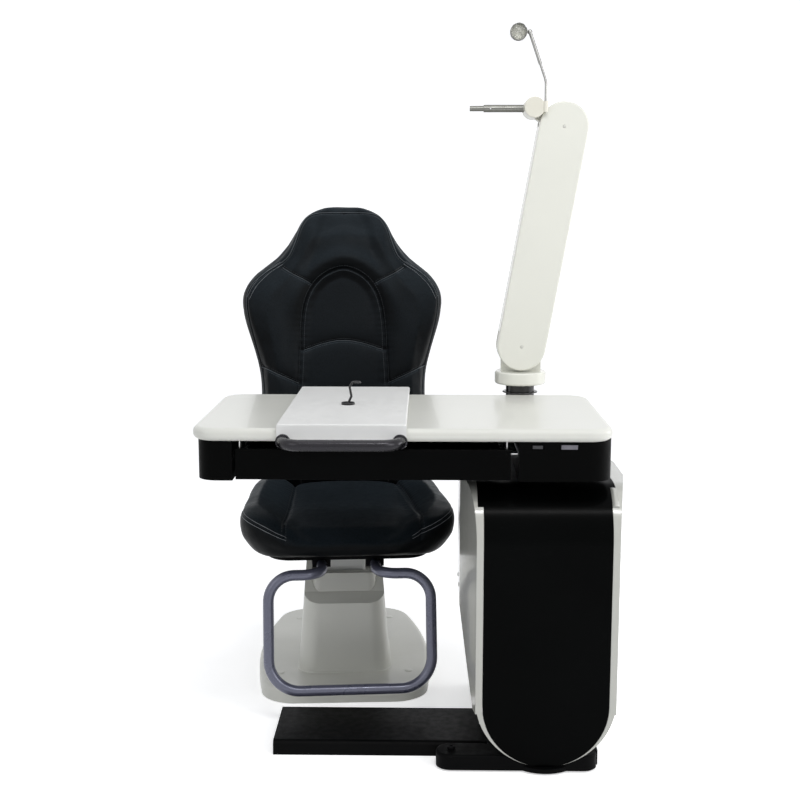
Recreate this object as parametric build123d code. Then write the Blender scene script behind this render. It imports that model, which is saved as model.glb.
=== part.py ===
"""Refraction unit: an eye test table on a lift column, with a chair that stands behind it.

Millimetres, +Z up. The origin is on the floor, on the axis of the table's lift column.
-Y is the operator's side, the patient's chair stands at +Y and the table reaches out to -X.
"""
import math
import os

from build123d import *

# Table
table_w, table_d, table_t = 900.0, 505.0, 28.0
table_top_z = 764.0
table_right, table_front = 137.0, 300.0  # from the column's axis to the edges
table_corner_r, table_edge_r = 55.0, 12.0

# Aprons under the tabletop, open moulded shells
apron_h, apron_wall, apron_inset, apron_right_inset = 86.0, 3.0, 11.0, 1.0
apron_left_w, apron_right_w, apron_depth = 78.0, 202.0, 478.0

# Drawer and its runners
drawer_h, drawer_drop, drawer_front_t = 66.0, 17.0, 14.0
drawer_gap_left, drawer_gap_right = 7.0, 17.0
drawer_box_d, drawer_box_h, drawer_wall, drawer_side_room = 362.0, 56.0, 3.0, 21.0
drawer_front_setback, drawer_edge_r = 8.0, 2.0
runner_h, runner_w, runner_wall, runner_gap = 32.0, 12.0, 1.5, 0.4
slide_bar_t, angle_t, angle_flange, shelf_w = 6.0, 2.0, 15.0, 22.0

# Instrument tray that saddles the tabletop
tray_w, tray_overhang, tray_t, tray_lip_h, tray_lift = 274.0, 51.0, 4.0, 9.0, 2.0
tray_left_offset = 186.0  # from the table's left edge to the tray's
tray_flange_h, tray_flange_t, tray_flange_gap, tray_corner_r, tray_edge_r = 50.0, 4.0, 1.0, 6.0, 3.0
glide_w, glide_l = 12.0, 60.0
handle_r, handle_reach, handle_bend_r, handle_drop, handle_inset = 12.5, 45.0, 40.0, 37.0, 1.0

# Guide for an instrument's lead, standing on the tray
guide_base_r, guide_base_h, guide_rod_r = 15.5, 5.0, 2.75
guide_back, guide_from_left = 271.0, 135.0
guide_rise, guide_lean, guide_kink = 40.0, 8.0, 19.0
guide_eye_r, guide_eye_wire_r = 9.0, 1.9

# Cabinet around the lift column
cab_half, cab_rim, cab_bottom_z, cab_top_z, cab_d = 138.0, 15.0, 15.0, 628.0, 520.0
cab_bend_r, panel_t, panel_gap, rim_depth = 115.0, 3.0, 0.5, 30.0
cover_crease_half, cover_wide_half = 169.0, 184.0
crease_back, wide_back, cover_wall = 94.0, 188.0, 4.0
cover_low_front_z, cover_low_back_z = 135.0, 323.0
rim_top_z, cap_slot_gap = 590.0, 6.0
cage_t, cage_flange = 2.5, 24.0

# Floor frame, feet and foot plate
frame_h, foot_pad_r, foot_pad_h, frame_edge_r, beam_end_r = 34.0, 19.0, 4.0, 6.0, 32.0
front_beam_left, front_beam_right, front_beam_d = 238.0, 117.0, 68.0
rail_w, rail_half, rear_beam_half = 50.0, 95.0, 130.0
column_seat_half, toe_r, toe_reach = 110.0, 80.0, 12.0
plate_len, plate_d, plate_h, plate_wall = 471.0, 196.0, 33.0, 3.0
plate_nose_r, plate_back, plate_tab = 12.0, 83.0, 15.0

# Table's lift column
col_half, col_wall, col_top_z, col_flange_t, col_flange_half = 58.0, 5.0, 590.0, 10.0, 88.0
ram_half, ram_wall, ram_low_z, ram_corner_r, col_corner_r = 45.0, 4.0, 110.0, 8.0, 12.0
glide_h, glide_gap = 60.0, 0.3
actuator_r, actuator_wall, actuator_h, spindle_r = 22.0, 3.0, 300.0, 9.0
gear_half, gear_h = 34.0, 40.0
power_w, power_d, power_h, power_z = 110.0, 70.0, 160.0, 330.0

# Frame that carries the tabletop
head_half, head_t, beam_h, beam_w, beam_wall = 58.0, 8.0, 28.0, 40.0, 3.0
beam_left_gap, arm_bar_w, arm_bar_front, beam_right_gap = 28.0, 30.0, 220.0, 12.0
beam_gap_drawer = 18.0

# Switches on the right apron
rocker_w, rocker_h, rocker_t, rocker_proud = 35.0, 9.0, 9.0, 1.5
rocker_from_right, rocker_drop, bezel_w, bezel_t = 96.0, 11.0, 2.0, 1.5
button_w, button_h, button_travel, button_from_right, button_t = 22.0, 7.0, 2.0, 163.0, 8.0
switch_depth, switch_gap, bezel_gap, rocker_pin_r = 22.0, 0.8, 0.3, 1.5

# Instrument arm
post_r, post_x, post_y, post_low_z, post_top_z = 36.0, -24.0, 250.0, 690.0, 785.5
spigot_r, spigot_h, spigot_gap = 20.0, 26.0, 0.05
clamp_wall, clamp_h, clamp_gap = 14.0, 30.0, 0.1
collar_r, collar_h, collar_edge_r, collar_gap = 64.5, 32.0, 6.0, 0.5
neck_half, neck_t = 50.0, 28.0
low_pivot_z, arm_len, arm_lean = 882.0, 545.5, 10.1
arm_r, arm_t, arm_wall, arm_gap = 60.0, 76.0, 3.0, 0.5
arm_edge_r, slot_gap, boss_gap, arm_cuts = 4.0, 3.0, 1.0, 5
cheek_half, cheek_t, cheek_gap = 14.0, 6.0, 0.5
pin_r, pin_gap, cap_r, cap_t = 7.0, 0.05, 4.0, 1.0
link_reach, link_angle, link_half, link_pin_r = 34.0, 25.0, 7.0, 4.0
open_pivot_gap, tilt_low, tilt_high = 0.5, -70.0, 8.0

# Head at the arm's top: boss, rod, knob and lamp
boss_r, boss_front, boss_len, boss_angle, boss_edge_r = 25.0, 12.0, 90.0, 31.6, 2.5
head_neck_half, head_eye_r = 20.0, 48.0
rod_r, rod_len, rod_tip_r, rod_tip_len, rod_seat = 9.0, 130.0, 6.5, 34.0, 22.0
rod_hole_r = 2.0
knob_r, knob_t, knob_stem_r, knob_gap, knob_grips = 17.0, 16.0, 5.0, 0.5, 6
lug_r, lug_h, lug_drop, stalk_r, stalk_side, stalk_seat = 6.0, 26.0, 12.0, 3.0, 26.0, 18.0
stalk_up, stalk_lean, stalk_arm, stalk_bend_r, sleeve_r, sleeve_share = 46.0, 19.4, 122.0, 60.0, 4.2, 0.35
lamp_r, lamp_t, lamp_rim, lamp_side, ball_r, lamp_pin_r, lamp_back_r = 20.5, 22.0, 2.5, 27.0, 6.0, 2.5, 9.0
lamp_notches, notch_w, notch_d, lens_t, lens_setback = 5, 5.0, 6.0, 3.0, 7.0

# Chair: placed by its pedestal's axis and turned to face the table's front
chair_x, chair_y, chair_turn = -477.0, 320.0, 3.7
seat_aside, seat_turn = 5.0, 1.6  # the seat, back and foot ring on the column's plate
base_half, base_front, base_rear, base_cover_h, base_cover_wall = 226.0, 236.0, 398.0, 42.0, 3.0
base_edge_r, base_plate_t, base_plate_gap, base_cover_low_z = 14.0, 12.0, 0.5, 1.0
base_front_half, base_shoulder_half, base_hip_half, base_tail_half = 120.0, 213.0, 190.0, 90.0
base_shoulder_back, base_wide_back, base_hip_back = 86.0, 316.0, 556.0
base_foot_r, base_foot_h = 20.0, 5.0
shell_foot_half, shell_front, shell_rear, shell_wall = 119.0, 137.0, 137.0, 4.0
shell_top_half, shell_top_front, shell_top_rear, shell_corner_r = 97.0, 128.0, 120.0, 45.0
shell_front_z, shell_ledge_z, shell_hood_z = 222.0, 243.0, 325.0
stage_half, stage_front, stage_rear, stage_low_z, stage_top_z = 83.0, 88.0, 88.0, 60.0, 292.0
stage_wall, stage_corner_r, stage_gap = 3.0, 22.0, 0.5
slim_half, slim_front, slim_rear, slim_low_z, slim_corner_r = 55.5, 60.0, 60.0, 100.0, 10.0
chair_col_half, chair_col_wall, chair_col_top_z, chair_col_corner_r = 42.0, 4.0, 285.0, 8.0
chair_ram_low_z, chair_ram_gap, chair_ram_corner_r = 70.0, 0.4, 5.0
mount_half_w, mount_half_d, mount_t, mount_low_z = 95.0, 110.0, 14.0, 352.0

# Seat and back
pan_t, pan_half_w, pan_front, pan_rear, pan_corner_r = 12.0, 200.0, 225.0, 165.0, 60.0
pad_gap = 0.3
seat_front, seat_rear, seat_half = 318.0, 168.0, 266.0
seat_top_z, pad_crown, pad_groove, seat_bolster = 466.0, 5.0, 6.0, 26.0
back_low_z, back_len, back_half, back_lean = 415.0, 821.5, 272.0, 11.0
back_rear, back_thick, back_wing = 261.1, 92.0, 30.0
back_shell_t, strut_w, strut_t, strut_side, strut_len, strut_foot = 9.0, 45.0, 8.0, 85.0, 315.0, 52.0
# Rows of cushion sections: along, half width, underside, top, bolster, seam and flat underside
seat_shares = [(0.0, 0.46, 0.34, 0.62, 0.0, 0.5, 0.8), (0.035, 0.69, 0.18, 0.94, 0.1, 0.5, 0.8),
               (0.13, 0.91, 0.08, 1.07, 0.3, 0.53, 0.8), (0.3, 1.0, -0.06, 1.0, 0.9, 0.55, 0.8),
               (0.55, 0.94, -0.06, 0.96, 1.0, 0.56, 0.8), (0.8, 0.875, -0.05, 0.97, 0.75, 0.58, 0.8),
               (1.0, 0.82, 0.02, 0.96, 0.3, 0.6, 0.8)]
back_shares = [(0, 0.79, 0.0, 0.86, 0.0, 0.47, 0.82), (0.128, 0.812, 0.0, 1.0, 0.25, 0.48, 0.82),
               (0.331, 0.827, 0.0, 1.0, 0.8, 0.48, 0.82), (0.486, 0.87, 0.0, 1.0, 1.0, 0.45, 0.82),
               (0.612, 0.985, 0.0, 1.0, 1.0, 0.4, 0.84), (0.69, 0.99, 0.0, 1.0, 0.8, 0.37, 0.84),
               (0.767, 0.82, 0.0, 0.98, 0.45, 0.4, 0.84), (0.835, 0.6, 0.0, 0.95, 0.2, 0.45, 0.82),
               (0.922, 0.44, 0.0, 0.85, 0.1, 0.45, 0.8), (0.976, 0.3, 0.05, 0.66, 0.0, 0.45, 0.78),
               (1, 0.15, 0.16, 0.42, 0.0, 0.45, 0.7)]
back_shell_shares = [(0.089, 0.6), (0.225, 0.64), (0.467, 0.68), (0.632, 0.76), (0.767, 0.62), (0.884, 0.36)]

# Foot ring
ring_half, ring_r, ring_front, ring_low_z, ring_top_front = 195.5, 13.0, 360.0, 84.0, 300.0
ring_rail_half, ring_end, ring_low_bend, ring_top_bend, ring_rail_bend = 66.0, 116.0, 75.0, 62.0, 50.0
ring_drop, clamp_block_w, clamp_block_d = 1.0, 44.0, 26.0

overrun = 5.0

# Places worked out from the sizes above
table_x1 = table_right
table_x0 = table_x1 - table_w
table_y0 = -table_front
table_y1 = table_y0 + table_d
table_under_z = table_top_z - table_t
apron_low_z = table_under_z - apron_h
apron_y0 = table_y0 + apron_inset
drawer_x0 = table_x0 + apron_inset + apron_left_w + drawer_gap_left
drawer_x1 = table_x1 - apron_right_w - drawer_gap_right
drawer_z1 = table_under_z - drawer_drop
drawer_z0 = drawer_z1 - drawer_h
drawer_y0 = table_y0 + drawer_front_setback
drawer_y1 = drawer_y0 + drawer_front_t
box_x0, box_x1 = drawer_x0 + drawer_side_room, drawer_x1 - drawer_side_room
box_y1 = drawer_y1 + drawer_box_d
box_z0 = drawer_z0 + drawer_wall
runner_z1 = box_z0 + drawer_box_h - drawer_wall
tray_x0 = table_x0 + tray_left_offset
tray_x1 = tray_x0 + tray_w
tray_low_z = table_top_z + tray_lift
tray_top_z = tray_low_z + tray_lip_h
tray_y0 = table_y0 - tray_flange_gap - tray_flange_t
tray_y1 = table_y1 + tray_overhang
handle_y = tray_y0 - handle_reach
handle_z = tray_top_z - handle_drop
cab_y0 = -table_front
cab_y1 = cab_y0 + cab_d
frame_z0 = foot_pad_h
frame_z1 = frame_z0 + frame_h
frame_y0, frame_y1 = cab_y0 + panel_t + panel_gap, cab_y1 - panel_t - panel_gap
ram_top_z = table_under_z - beam_h - head_t
beam_y0 = box_y1 + beam_gap_drawer
beam_y1 = beam_y0 + beam_w
collar_z0 = post_top_z + collar_gap
collar_z1 = collar_z0 + collar_h
high_pivot_x = post_x + arm_len * math.sin(math.radians(arm_lean))
high_pivot_z = low_pivot_z + arm_len * math.cos(math.radians(arm_lean))
link_dx = -link_reach * math.cos(math.radians(link_angle))
link_dz = -link_reach * math.sin(math.radians(link_angle))
boss_reach = arm_r + boss_r + boss_gap
boss_x = high_pivot_x - boss_reach * math.cos(math.radians(boss_angle))
boss_z = high_pivot_z + boss_reach * math.sin(math.radians(boss_angle))
arm_y0 = post_y - arm_t / 2
boss_y0 = arm_y0 - boss_front
boss_y1 = boss_y0 + boss_len
stalk_x = boss_x + stalk_side
stalk_y = arm_y0 - slot_gap - lug_r
lug_z0 = boss_z - lug_drop
lug_z1 = lug_z0 + lug_h
chair_ram_half = chair_col_half - chair_col_wall - chair_ram_gap
pan_low_z = mount_low_z + mount_t
pan_top_z = pan_low_z + pan_t
seat_low_z = pan_top_z + pad_gap
ring_top_z = pan_low_z - ring_r - ring_drop
chair_place = Location((chair_x, chair_y, 0), (0, 0, chair_turn))
seat_place = chair_place * Location((seat_aside, 0, 0), (0, 0, seat_turn))


def slab(x0, x1, y0, y1, z0, z1):
    """A block between two corners."""
    return Pos((x0 + x1) / 2, (y0 + y1) / 2, (z0 + z1) / 2) * Box(x1 - x0, y1 - y0, z1 - z0)


def rod(radius, start, end):
    """A round bar between two points."""
    way = Vector(*end) - Vector(*start)
    return extrude(Plane(origin=start, z_dir=way) * Circle(radius), way.length)


def post_block(half_x, y0, y1, z0, z1, corner_r):
    """An upright block with rounded corners in plan, centred on X."""
    plan = Pos(0, (y0 + y1) / 2, z0) * RectangleRounded(2 * half_x, y1 - y0, corner_r)
    return extrude(plan, z1 - z0)


def tube_block(half, wall, z0, z1, corner_r):
    """A square tube standing on the column's axis."""
    outer = post_block(half, -half, half, z0, z1, corner_r)
    bore = post_block(half - wall, wall - half, half - wall, z0 - overrun, z1 + overrun, corner_r - wall)
    return outer - bore


def side_face(points):
    """A closed face in the YZ plane from (y, z) points."""
    return Plane.YZ * make_face(Polyline(*points, points[0]))


def side_prism(points, half):
    """A (y, z) outline drawn out to both sides of X = 0."""
    return extrude(side_face(points), half, both=True)


# Tabletop, aprons and drawer

def tabletop():
    """Moulded board with rounded corners and a bullnose edge."""
    plan = Pos((table_x0 + table_x1) / 2, (table_y0 + table_y1) / 2, table_under_z)
    board = extrude(plan * RectangleRounded(table_w, table_d, table_corner_r), table_t)
    return fillet(board.edges().group_by(Axis.Z)[0] + board.edges().group_by(Axis.Z)[-1], table_edge_r)


def apron_ring(x0, x1, side, corner_r):
    """Upright walls of an apron, its two outer corners rounded like the tabletop's."""
    y1 = apron_y0 + apron_depth
    outer = slab(x0, x1, apron_y0, y1, apron_low_z, table_under_z)
    outer = fillet(outer.edges().filter_by(Axis.Z).group_by(Axis.X)[side], corner_r)
    inner = slab(x0 + apron_wall, x1 - apron_wall, apron_y0 + apron_wall, y1 - apron_wall,
                 apron_low_z - overrun, table_under_z + overrun)
    inner = fillet(inner.edges().filter_by(Axis.Z).group_by(Axis.X)[side], corner_r - apron_wall)
    return outer - inner


def apron_left():
    x0 = table_x0 + apron_inset
    return apron_ring(x0, x0 + apron_left_w, 0, table_corner_r - apron_inset)


def apron_right():
    """The right apron lets the beam, the post's clamp and the switches through."""
    x0 = table_x1 - apron_right_w
    ring = apron_ring(x0, table_x1 - apron_right_inset, -1, table_corner_r - apron_right_inset)
    low_z = table_under_z - beam_h - head_t
    ring -= slab(x0 - overrun, x0 + apron_wall + overrun, beam_y0 - clamp_gap, beam_y1 + clamp_gap,
                 low_z, table_under_z + overrun)
    reach = post_r + clamp_wall + slot_gap
    ring -= slab(post_x - reach, post_x + reach, beam_y1, post_y + reach, low_z - slot_gap,
                 table_under_z + overrun)
    for x, z, w, h in (rocker_seat(), button_seat()):
        ring -= slab(x - w, x + w, apron_y0 - overrun, apron_y0 + apron_wall + overrun, z - h, z + h)
    return ring


def drawer_front():
    front = slab(drawer_x0, drawer_x1, drawer_y0, drawer_y1, drawer_z0, drawer_z1)
    return fillet(front.edges().group_by(Axis.Y)[0], drawer_edge_r)


def drawer_box():
    """Folded steel box, open at the top."""
    z1 = box_z0 + drawer_box_h
    box = slab(box_x0, box_x1, drawer_y1, box_y1, box_z0, z1)
    return box - slab(box_x0 + drawer_wall, box_x1 - drawer_wall, drawer_y1 + drawer_wall,
                      box_y1 - drawer_wall, box_z0 + drawer_wall, z1 + overrun)


def runner_channel(side_x, way):
    """Fixed channel that holds a slide bar, and the angle that hangs it from the tabletop."""
    far = side_x + way * runner_w
    near = side_x + way * runner_gap
    y0, z0 = drawer_y1 + runner_gap, runner_z1 - runner_h
    runner = span_x(near, far, y0, box_y1, z0, runner_z1)
    runner -= span_x(near - way * overrun, far - way * runner_wall, y0 - overrun, box_y1 + overrun,
                     z0 + runner_wall, runner_z1 - runner_wall)
    runner += span_x(far, far + way * angle_t, y0, beam_y0, z0, table_under_z)
    foot = far + way * angle_flange
    runner += span_x(far, foot, y0, beam_y0, table_under_z - angle_t, table_under_z)
    if way > 0:
        tip = far + way * (angle_t + shelf_w)
        runner += span_x(far, tip, y0, beam_y0, runner_z1 - angle_t, runner_z1)
    return runner


def span_x(xa, xb, y0, y1, z0, z1):
    """A block whose two X faces may be given in either order."""
    return slab(min(xa, xb), max(xa, xb), y0, y1, z0, z1)


def drawer_runners():
    return Compound([runner_channel(box_x0, -1), runner_channel(box_x1, 1)])


def drawer_slide_bars():
    """A bar along each side of the drawer box, inside its channel."""
    z0 = runner_z1 - runner_h + runner_wall + runner_gap
    z1 = runner_z1 - runner_wall - runner_gap
    bars = [span_x(x, x + way * slide_bar_t, drawer_y1, box_y1, z0, z1)
            for x, way in ((box_x0, -1), (box_x1, 1))]
    return Compound(bars)


# Instrument tray

def instrument_tray():
    """Saddle plate: a shallow upturned pan with a flange hanging over the table's front."""
    plan = Pos((tray_x0 + tray_x1) / 2, (tray_y0 + tray_y1) / 2, tray_low_z)
    pan = extrude(plan * RectangleRounded(tray_w, tray_y1 - tray_y0, tray_corner_r), tray_lip_h)
    pan = fillet(pan.edges().group_by(Axis.Z)[-1], tray_edge_r)
    pan -= slab(tray_x0 + tray_t, tray_x1 - tray_t, tray_y0 + tray_flange_t, tray_y1 - tray_t,
                tray_low_z - overrun, tray_top_z - tray_t)
    flange = slab(tray_x0, tray_x1, tray_y0, tray_y0 + tray_flange_t, tray_top_z - tray_flange_h,
                  tray_top_z - tray_edge_r)
    flange = fillet(flange.edges().filter_by(Axis.Y).group_by(Axis.Z)[0], tray_corner_r)
    return pan + flange


def tray_glides():
    """Four plastic glides under the tray, just clear of the tabletop."""
    low, high = table_top_z + glide_gap, tray_top_z - tray_t
    pads = []
    for x in (tray_x0 + 2 * glide_w, tray_x1 - 2 * glide_w):
        for y in (table_y0 + glide_l, table_y1 - glide_l):
            pads.append(slab(x - glide_w / 2, x + glide_w / 2, y - glide_l / 2, y + glide_l / 2, low, high))
    return Compound(pads)


def tray_handle():
    """Round bow with both ends on the tray's front flange."""
    x0 = tray_x0 + handle_r + handle_inset
    x1 = tray_x1 - handle_r - handle_inset
    path = FilletPolyline((x0, tray_y0, handle_z), (x0, handle_y, handle_z), (x1, handle_y, handle_z),
                          (x1, tray_y0, handle_z), radius=handle_bend_r)
    return sweep(Plane(origin=path @ 0, z_dir=path % 0) * Circle(handle_r), path=path)


def cable_guide():
    """Disc foot, a bent rod and an open eye that a lead runs through."""
    x, y, z = tray_x0 + guide_from_left, tray_y0 + guide_back, tray_top_z
    foot = Pos(x, y, z + guide_base_h / 2) * Cylinder(guide_base_r, guide_base_h)
    foot = fillet(foot.edges().group_by(Axis.Z)[-1], guide_rod_r / 2)
    points = [(x, y, z + guide_base_h / 2), (x + guide_lean, y, z + guide_kink),
              (x + guide_lean / 2, y, z + guide_rise), (x + guide_lean * 1.3, y, z + guide_rise + guide_lean * 1.5)]
    path = FilletPolyline(*points, radius=guide_lean / 2)
    wire = sweep(Plane(origin=path @ 0, z_dir=path % 0) * Circle(guide_rod_r), path=path)
    end = path @ 1
    eye = Pos(end.X + guide_eye_r, end.Y, end.Z) * Torus(guide_eye_r, guide_eye_wire_r)
    return foot + wire + eye


# Cabinet

def wrap_block(half, inset, low_z):
    """The cabinet's side view drawn out to a half width, both top edges bent over."""
    block = slab(-half, half, cab_y0 + inset, cab_y1 - inset, -overrun, cab_top_z - inset)
    block = fillet(block.edges().filter_by(Axis.X).group_by(Axis.Z)[-1], cab_bend_r - inset)
    return block & slab(-half, half, cab_y0, cab_y1, low_z, cab_top_z)


def round_foot_block(half, low_z, top_z, y0, y1):
    """Upright block whose lower end is a half circle in front view."""
    mid_z = low_z + half
    block = slab(-half, half, y0, y1, mid_z, top_z)
    return block + rod(half, (0, y0, mid_z), (0, y1, mid_z))


def panel_skin():
    """Bent sheet over the cabinet's front, top and rear, cut to the round foot."""
    half = cab_half - panel_gap
    skin = wrap_block(half, 0, cab_bottom_z) - wrap_block(half + overrun, panel_t, cab_bottom_z - overrun)
    skin &= round_foot_block(half, cab_bottom_z, cab_top_z + overrun, cab_y0 - overrun, cab_y1 + overrun)
    wide = cab_half + cab_rim - cap_slot_gap / 2
    ears = wrap_block(wide, 0, rim_top_z + panel_gap)
    ears -= wrap_block(wide + overrun, panel_t, rim_top_z - overrun)
    return skin + ears


def cabinet_front_panel():
    return panel_skin() & slab(-table_w, table_w, cab_y0 - overrun, cab_y0 + cab_bend_r, 0, table_top_z)


def cabinet_rear_panel():
    return panel_skin() & slab(-table_w, table_w, cab_y1 - cab_bend_r, cab_y1 + overrun, 0, table_top_z)


def cabinet_top_cap():
    """Flat lid between the two bent panels, open where the column comes through."""
    y0, y1 = cab_y0 + cab_bend_r + panel_gap, cab_y1 - cab_bend_r - panel_gap
    lid = panel_skin() & slab(-table_w, table_w, y0, y1, cab_top_z - panel_t, cab_top_z)
    hole = ram_half + cap_slot_gap
    return lid - post_block(hole, -hole, hole, cab_top_z - overrun, cab_top_z + overrun, ram_corner_r)


def cover_plan(points, z0, z1):
    """A plan outline for the right side, mirrored to the left, drawn up between two heights."""
    left = [(-x, y) for x, y in reversed(points)]
    return Pos(0, 0, z0) * extrude(make_face(Polyline(*points, *left, points[0])), z1 - z0)


def cabinet_side_covers():
    """White shells whose sides swell in facets, with a slanting lower edge and a round-footed rim."""
    rim_half = cab_half + cab_rim
    plan = [(rim_half, cab_y0), (cover_crease_half, cab_y0 + crease_back),
            (cover_wide_half, cab_y0 + wide_back), (cover_wide_half, cab_y1 - wide_back),
            (cover_crease_half, cab_y1 - crease_back), (rim_half, cab_y1)]
    inner = [(x - cover_wall, y) for x, y in plan]
    solid = cover_plan(plan, 0, cab_top_z) & wrap_block(table_w, 0, 0)
    solid -= cover_plan(inner, -overrun, cab_top_z + overrun) & wrap_block(table_w, cover_wall, -overrun)
    low = [(cab_y0 - overrun, cover_low_front_z), (cab_y0 + rim_depth, cover_low_front_z),
           (cab_y0 + wide_back, cover_low_back_z), (cab_y1 - wide_back, cover_low_back_z),
           (cab_y1 - rim_depth, cover_low_front_z), (cab_y1 + overrun, cover_low_front_z),
           (cab_y1 + overrun, -overrun), (cab_y0 - overrun, -overrun)]
    solid -= side_prism(low, table_w)
    for y0, y1 in ((cab_y0, cab_y0 + rim_depth), (cab_y1 - rim_depth, cab_y1)):
        solid += round_foot_block(rim_half, cab_bottom_z, cover_low_back_z, y0, y1)
    solid -= slab(-table_w, table_w, frame_y0 - panel_gap, frame_y1 + panel_gap, -overrun, frame_z1 + panel_gap)
    solid -= round_foot_block(cab_half, cab_bottom_z - panel_gap, rim_top_z, cab_y0 - overrun, cab_y1 + overrun)
    top_half = cab_half + cab_rim - cap_slot_gap / 2 + panel_gap
    return solid - slab(-top_half, top_half, cab_y0 - overrun, cab_y1 + overrun, rim_top_z, cab_top_z + overrun)


def cabinet_side_cover(side):
    covers = cabinet_side_covers()
    cut = slab(min(0, side) * table_w, max(0, side) * table_w, -table_w, table_w, -overrun, table_top_z)
    return covers & cut


def cabinet_liner():
    """Sheet steel liner on the floor frame that the panels and covers are screwed to."""
    outer_half, inner_half = cab_half - panel_gap * 2, cab_half - panel_gap * 2 - cage_t
    y0, y1 = cab_y0 + panel_t, cab_y1 - panel_t
    low = cab_bottom_z + panel_gap * 2
    liner = round_foot_block(outer_half, low, cab_top_z, y0, y1)
    liner -= round_foot_block(inner_half, low + cage_t, cab_top_z + overrun, y0 + cage_t, y1 - cage_t)
    window = inner_half - cage_flange
    liner -= round_foot_block(window, low + cage_flange, cab_top_z + overrun, y0 - overrun, y1 + overrun)
    liner &= wrap_block(table_w, panel_t, frame_z1)
    half = col_flange_half + panel_gap
    return liner - slab(-half, half, -half, half, 0, frame_z1 + col_flange_t + panel_gap)


# Floor frame, feet and foot plate

def base_frame():
    """Welded floor frame: a front beam with rounded ends, two rails, a rear beam and a column seat."""
    mid = (front_beam_right - front_beam_left) / 2
    plan = Pos(mid, frame_y0 + front_beam_d / 2, frame_z0)
    width = front_beam_left + front_beam_right
    beam = extrude(plan * RectangleRounded(width, front_beam_d, beam_end_r), frame_h)
    beam = fillet(beam.edges().group_by(Axis.Z)[-1], frame_edge_r)
    frame = beam + slab(-rear_beam_half, rear_beam_half, frame_y1 - rail_w, frame_y1, frame_z0, frame_z1)
    frame += slab(-rail_half, rail_half, -rail_w / 2, rail_w / 2, frame_z0, frame_z1)
    for x in (-rail_half, rail_half):
        frame += slab(x - rail_w / 2, x + rail_w / 2, frame_y0 + front_beam_d / 2, frame_y1 - rail_w / 2,
                      frame_z0, frame_z1)
    seat = column_seat_half
    frame += slab(-seat, seat, -seat, seat, frame_z1 - col_flange_t, frame_z1)
    toe = Pos(0, cab_y0 - toe_reach + toe_r, frame_z0 + col_flange_t / 2) * Cylinder(toe_r, col_flange_t)
    return frame + toe


def foot_places():
    """Where the levelling feet stand under the floor frame, one of them under the column."""
    y0, y1 = frame_y0 + front_beam_d / 2, frame_y1 - rail_w / 2
    inset = front_beam_d / 2
    return [(0, 0), (-front_beam_left + inset, y0), (front_beam_right - inset, y0),
            (-rear_beam_half + inset, y1), (rear_beam_half - inset, y1)]


def levelling_feet():
    return Compound([Pos(x, y, foot_pad_h / 2) * Cylinder(foot_pad_r, foot_pad_h) for x, y in foot_places()])


def foot_plate():
    """Folded steel step with a round nose, tabbed to the floor frame."""
    x1 = -rail_half - rail_w / 2 - plate_tab
    x0, y0 = x1 - plate_len, cab_y0 + plate_back
    y1 = y0 + plate_d
    body = slab(x0, x1, y0, y1, 0, plate_h)
    body = fillet(body.edges().filter_by(Axis.X).group_by(Axis.Y)[0].sort_by(Axis.Z)[-1], plate_nose_r)
    pocket = slab(x0 + plate_wall, x1 - plate_wall, y0 + plate_wall, y1 - plate_wall, -overrun,
                  plate_h - plate_wall)
    pocket = fillet(pocket.edges().filter_by(Axis.X).group_by(Axis.Y)[0].sort_by(Axis.Z)[-1],
                    plate_nose_r - plate_wall)
    tab_y0 = y0 + plate_d / 4
    tab = slab(x1, x1 + plate_tab, tab_y0, tab_y0 + plate_d / 2, frame_z0, frame_z0 + col_flange_t)
    return body - pocket + tab


# Table's lift column

def lift_column_outer():
    tube = tube_block(col_half, col_wall, frame_z1, col_top_z, col_corner_r)
    flange = post_block(col_flange_half, -col_flange_half, col_flange_half, frame_z1,
                        frame_z1 + col_flange_t, col_corner_r)
    return tube + flange


def column_glides():
    """Plastic glides between the fixed tube and the ram."""
    near, far = ram_half + glide_gap, col_half - col_wall
    side = ram_half - ram_corner_r
    z1 = col_top_z - overrun
    z0 = z1 - glide_h
    pads = []
    for way in (-1, 1):
        pads.append(span_x(way * near, way * far, -side, side, z0, z1))
        pads.append(slab(-side, side, min(way * near, way * far), max(way * near, way * far), z0, z1))
    return Compound(pads)


def lift_column_ram():
    return tube_block(ram_half, ram_wall, ram_low_z, ram_top_z, ram_corner_r)


def lift_actuator():
    """Gearbox on the column's flange with the spindle's guide tube standing on it."""
    z0 = frame_z1 + col_flange_t
    gear = post_block(gear_half, -gear_half, gear_half, z0, z0 + gear_h, ram_corner_r)
    tube = rod(actuator_r, (0, 0, z0 + gear_h), (0, 0, z0 + gear_h + actuator_h))
    bore = rod(actuator_r - actuator_wall, (0, 0, z0 + gear_h), (0, 0, z0 + gear_h + actuator_h + overrun))
    return gear + (tube - bore)


def lift_spindle():
    return rod(spindle_r, (0, 0, ram_low_z), (0, 0, ram_top_z))


def power_unit():
    """Supply box for the lamps and the lift, fixed to the back of the column."""
    box = slab(-power_w / 2, power_w / 2, col_half, col_half + power_d, power_z, power_z + power_h)
    return fillet(box.edges().filter_by(Axis.Z), ram_wall)


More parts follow.
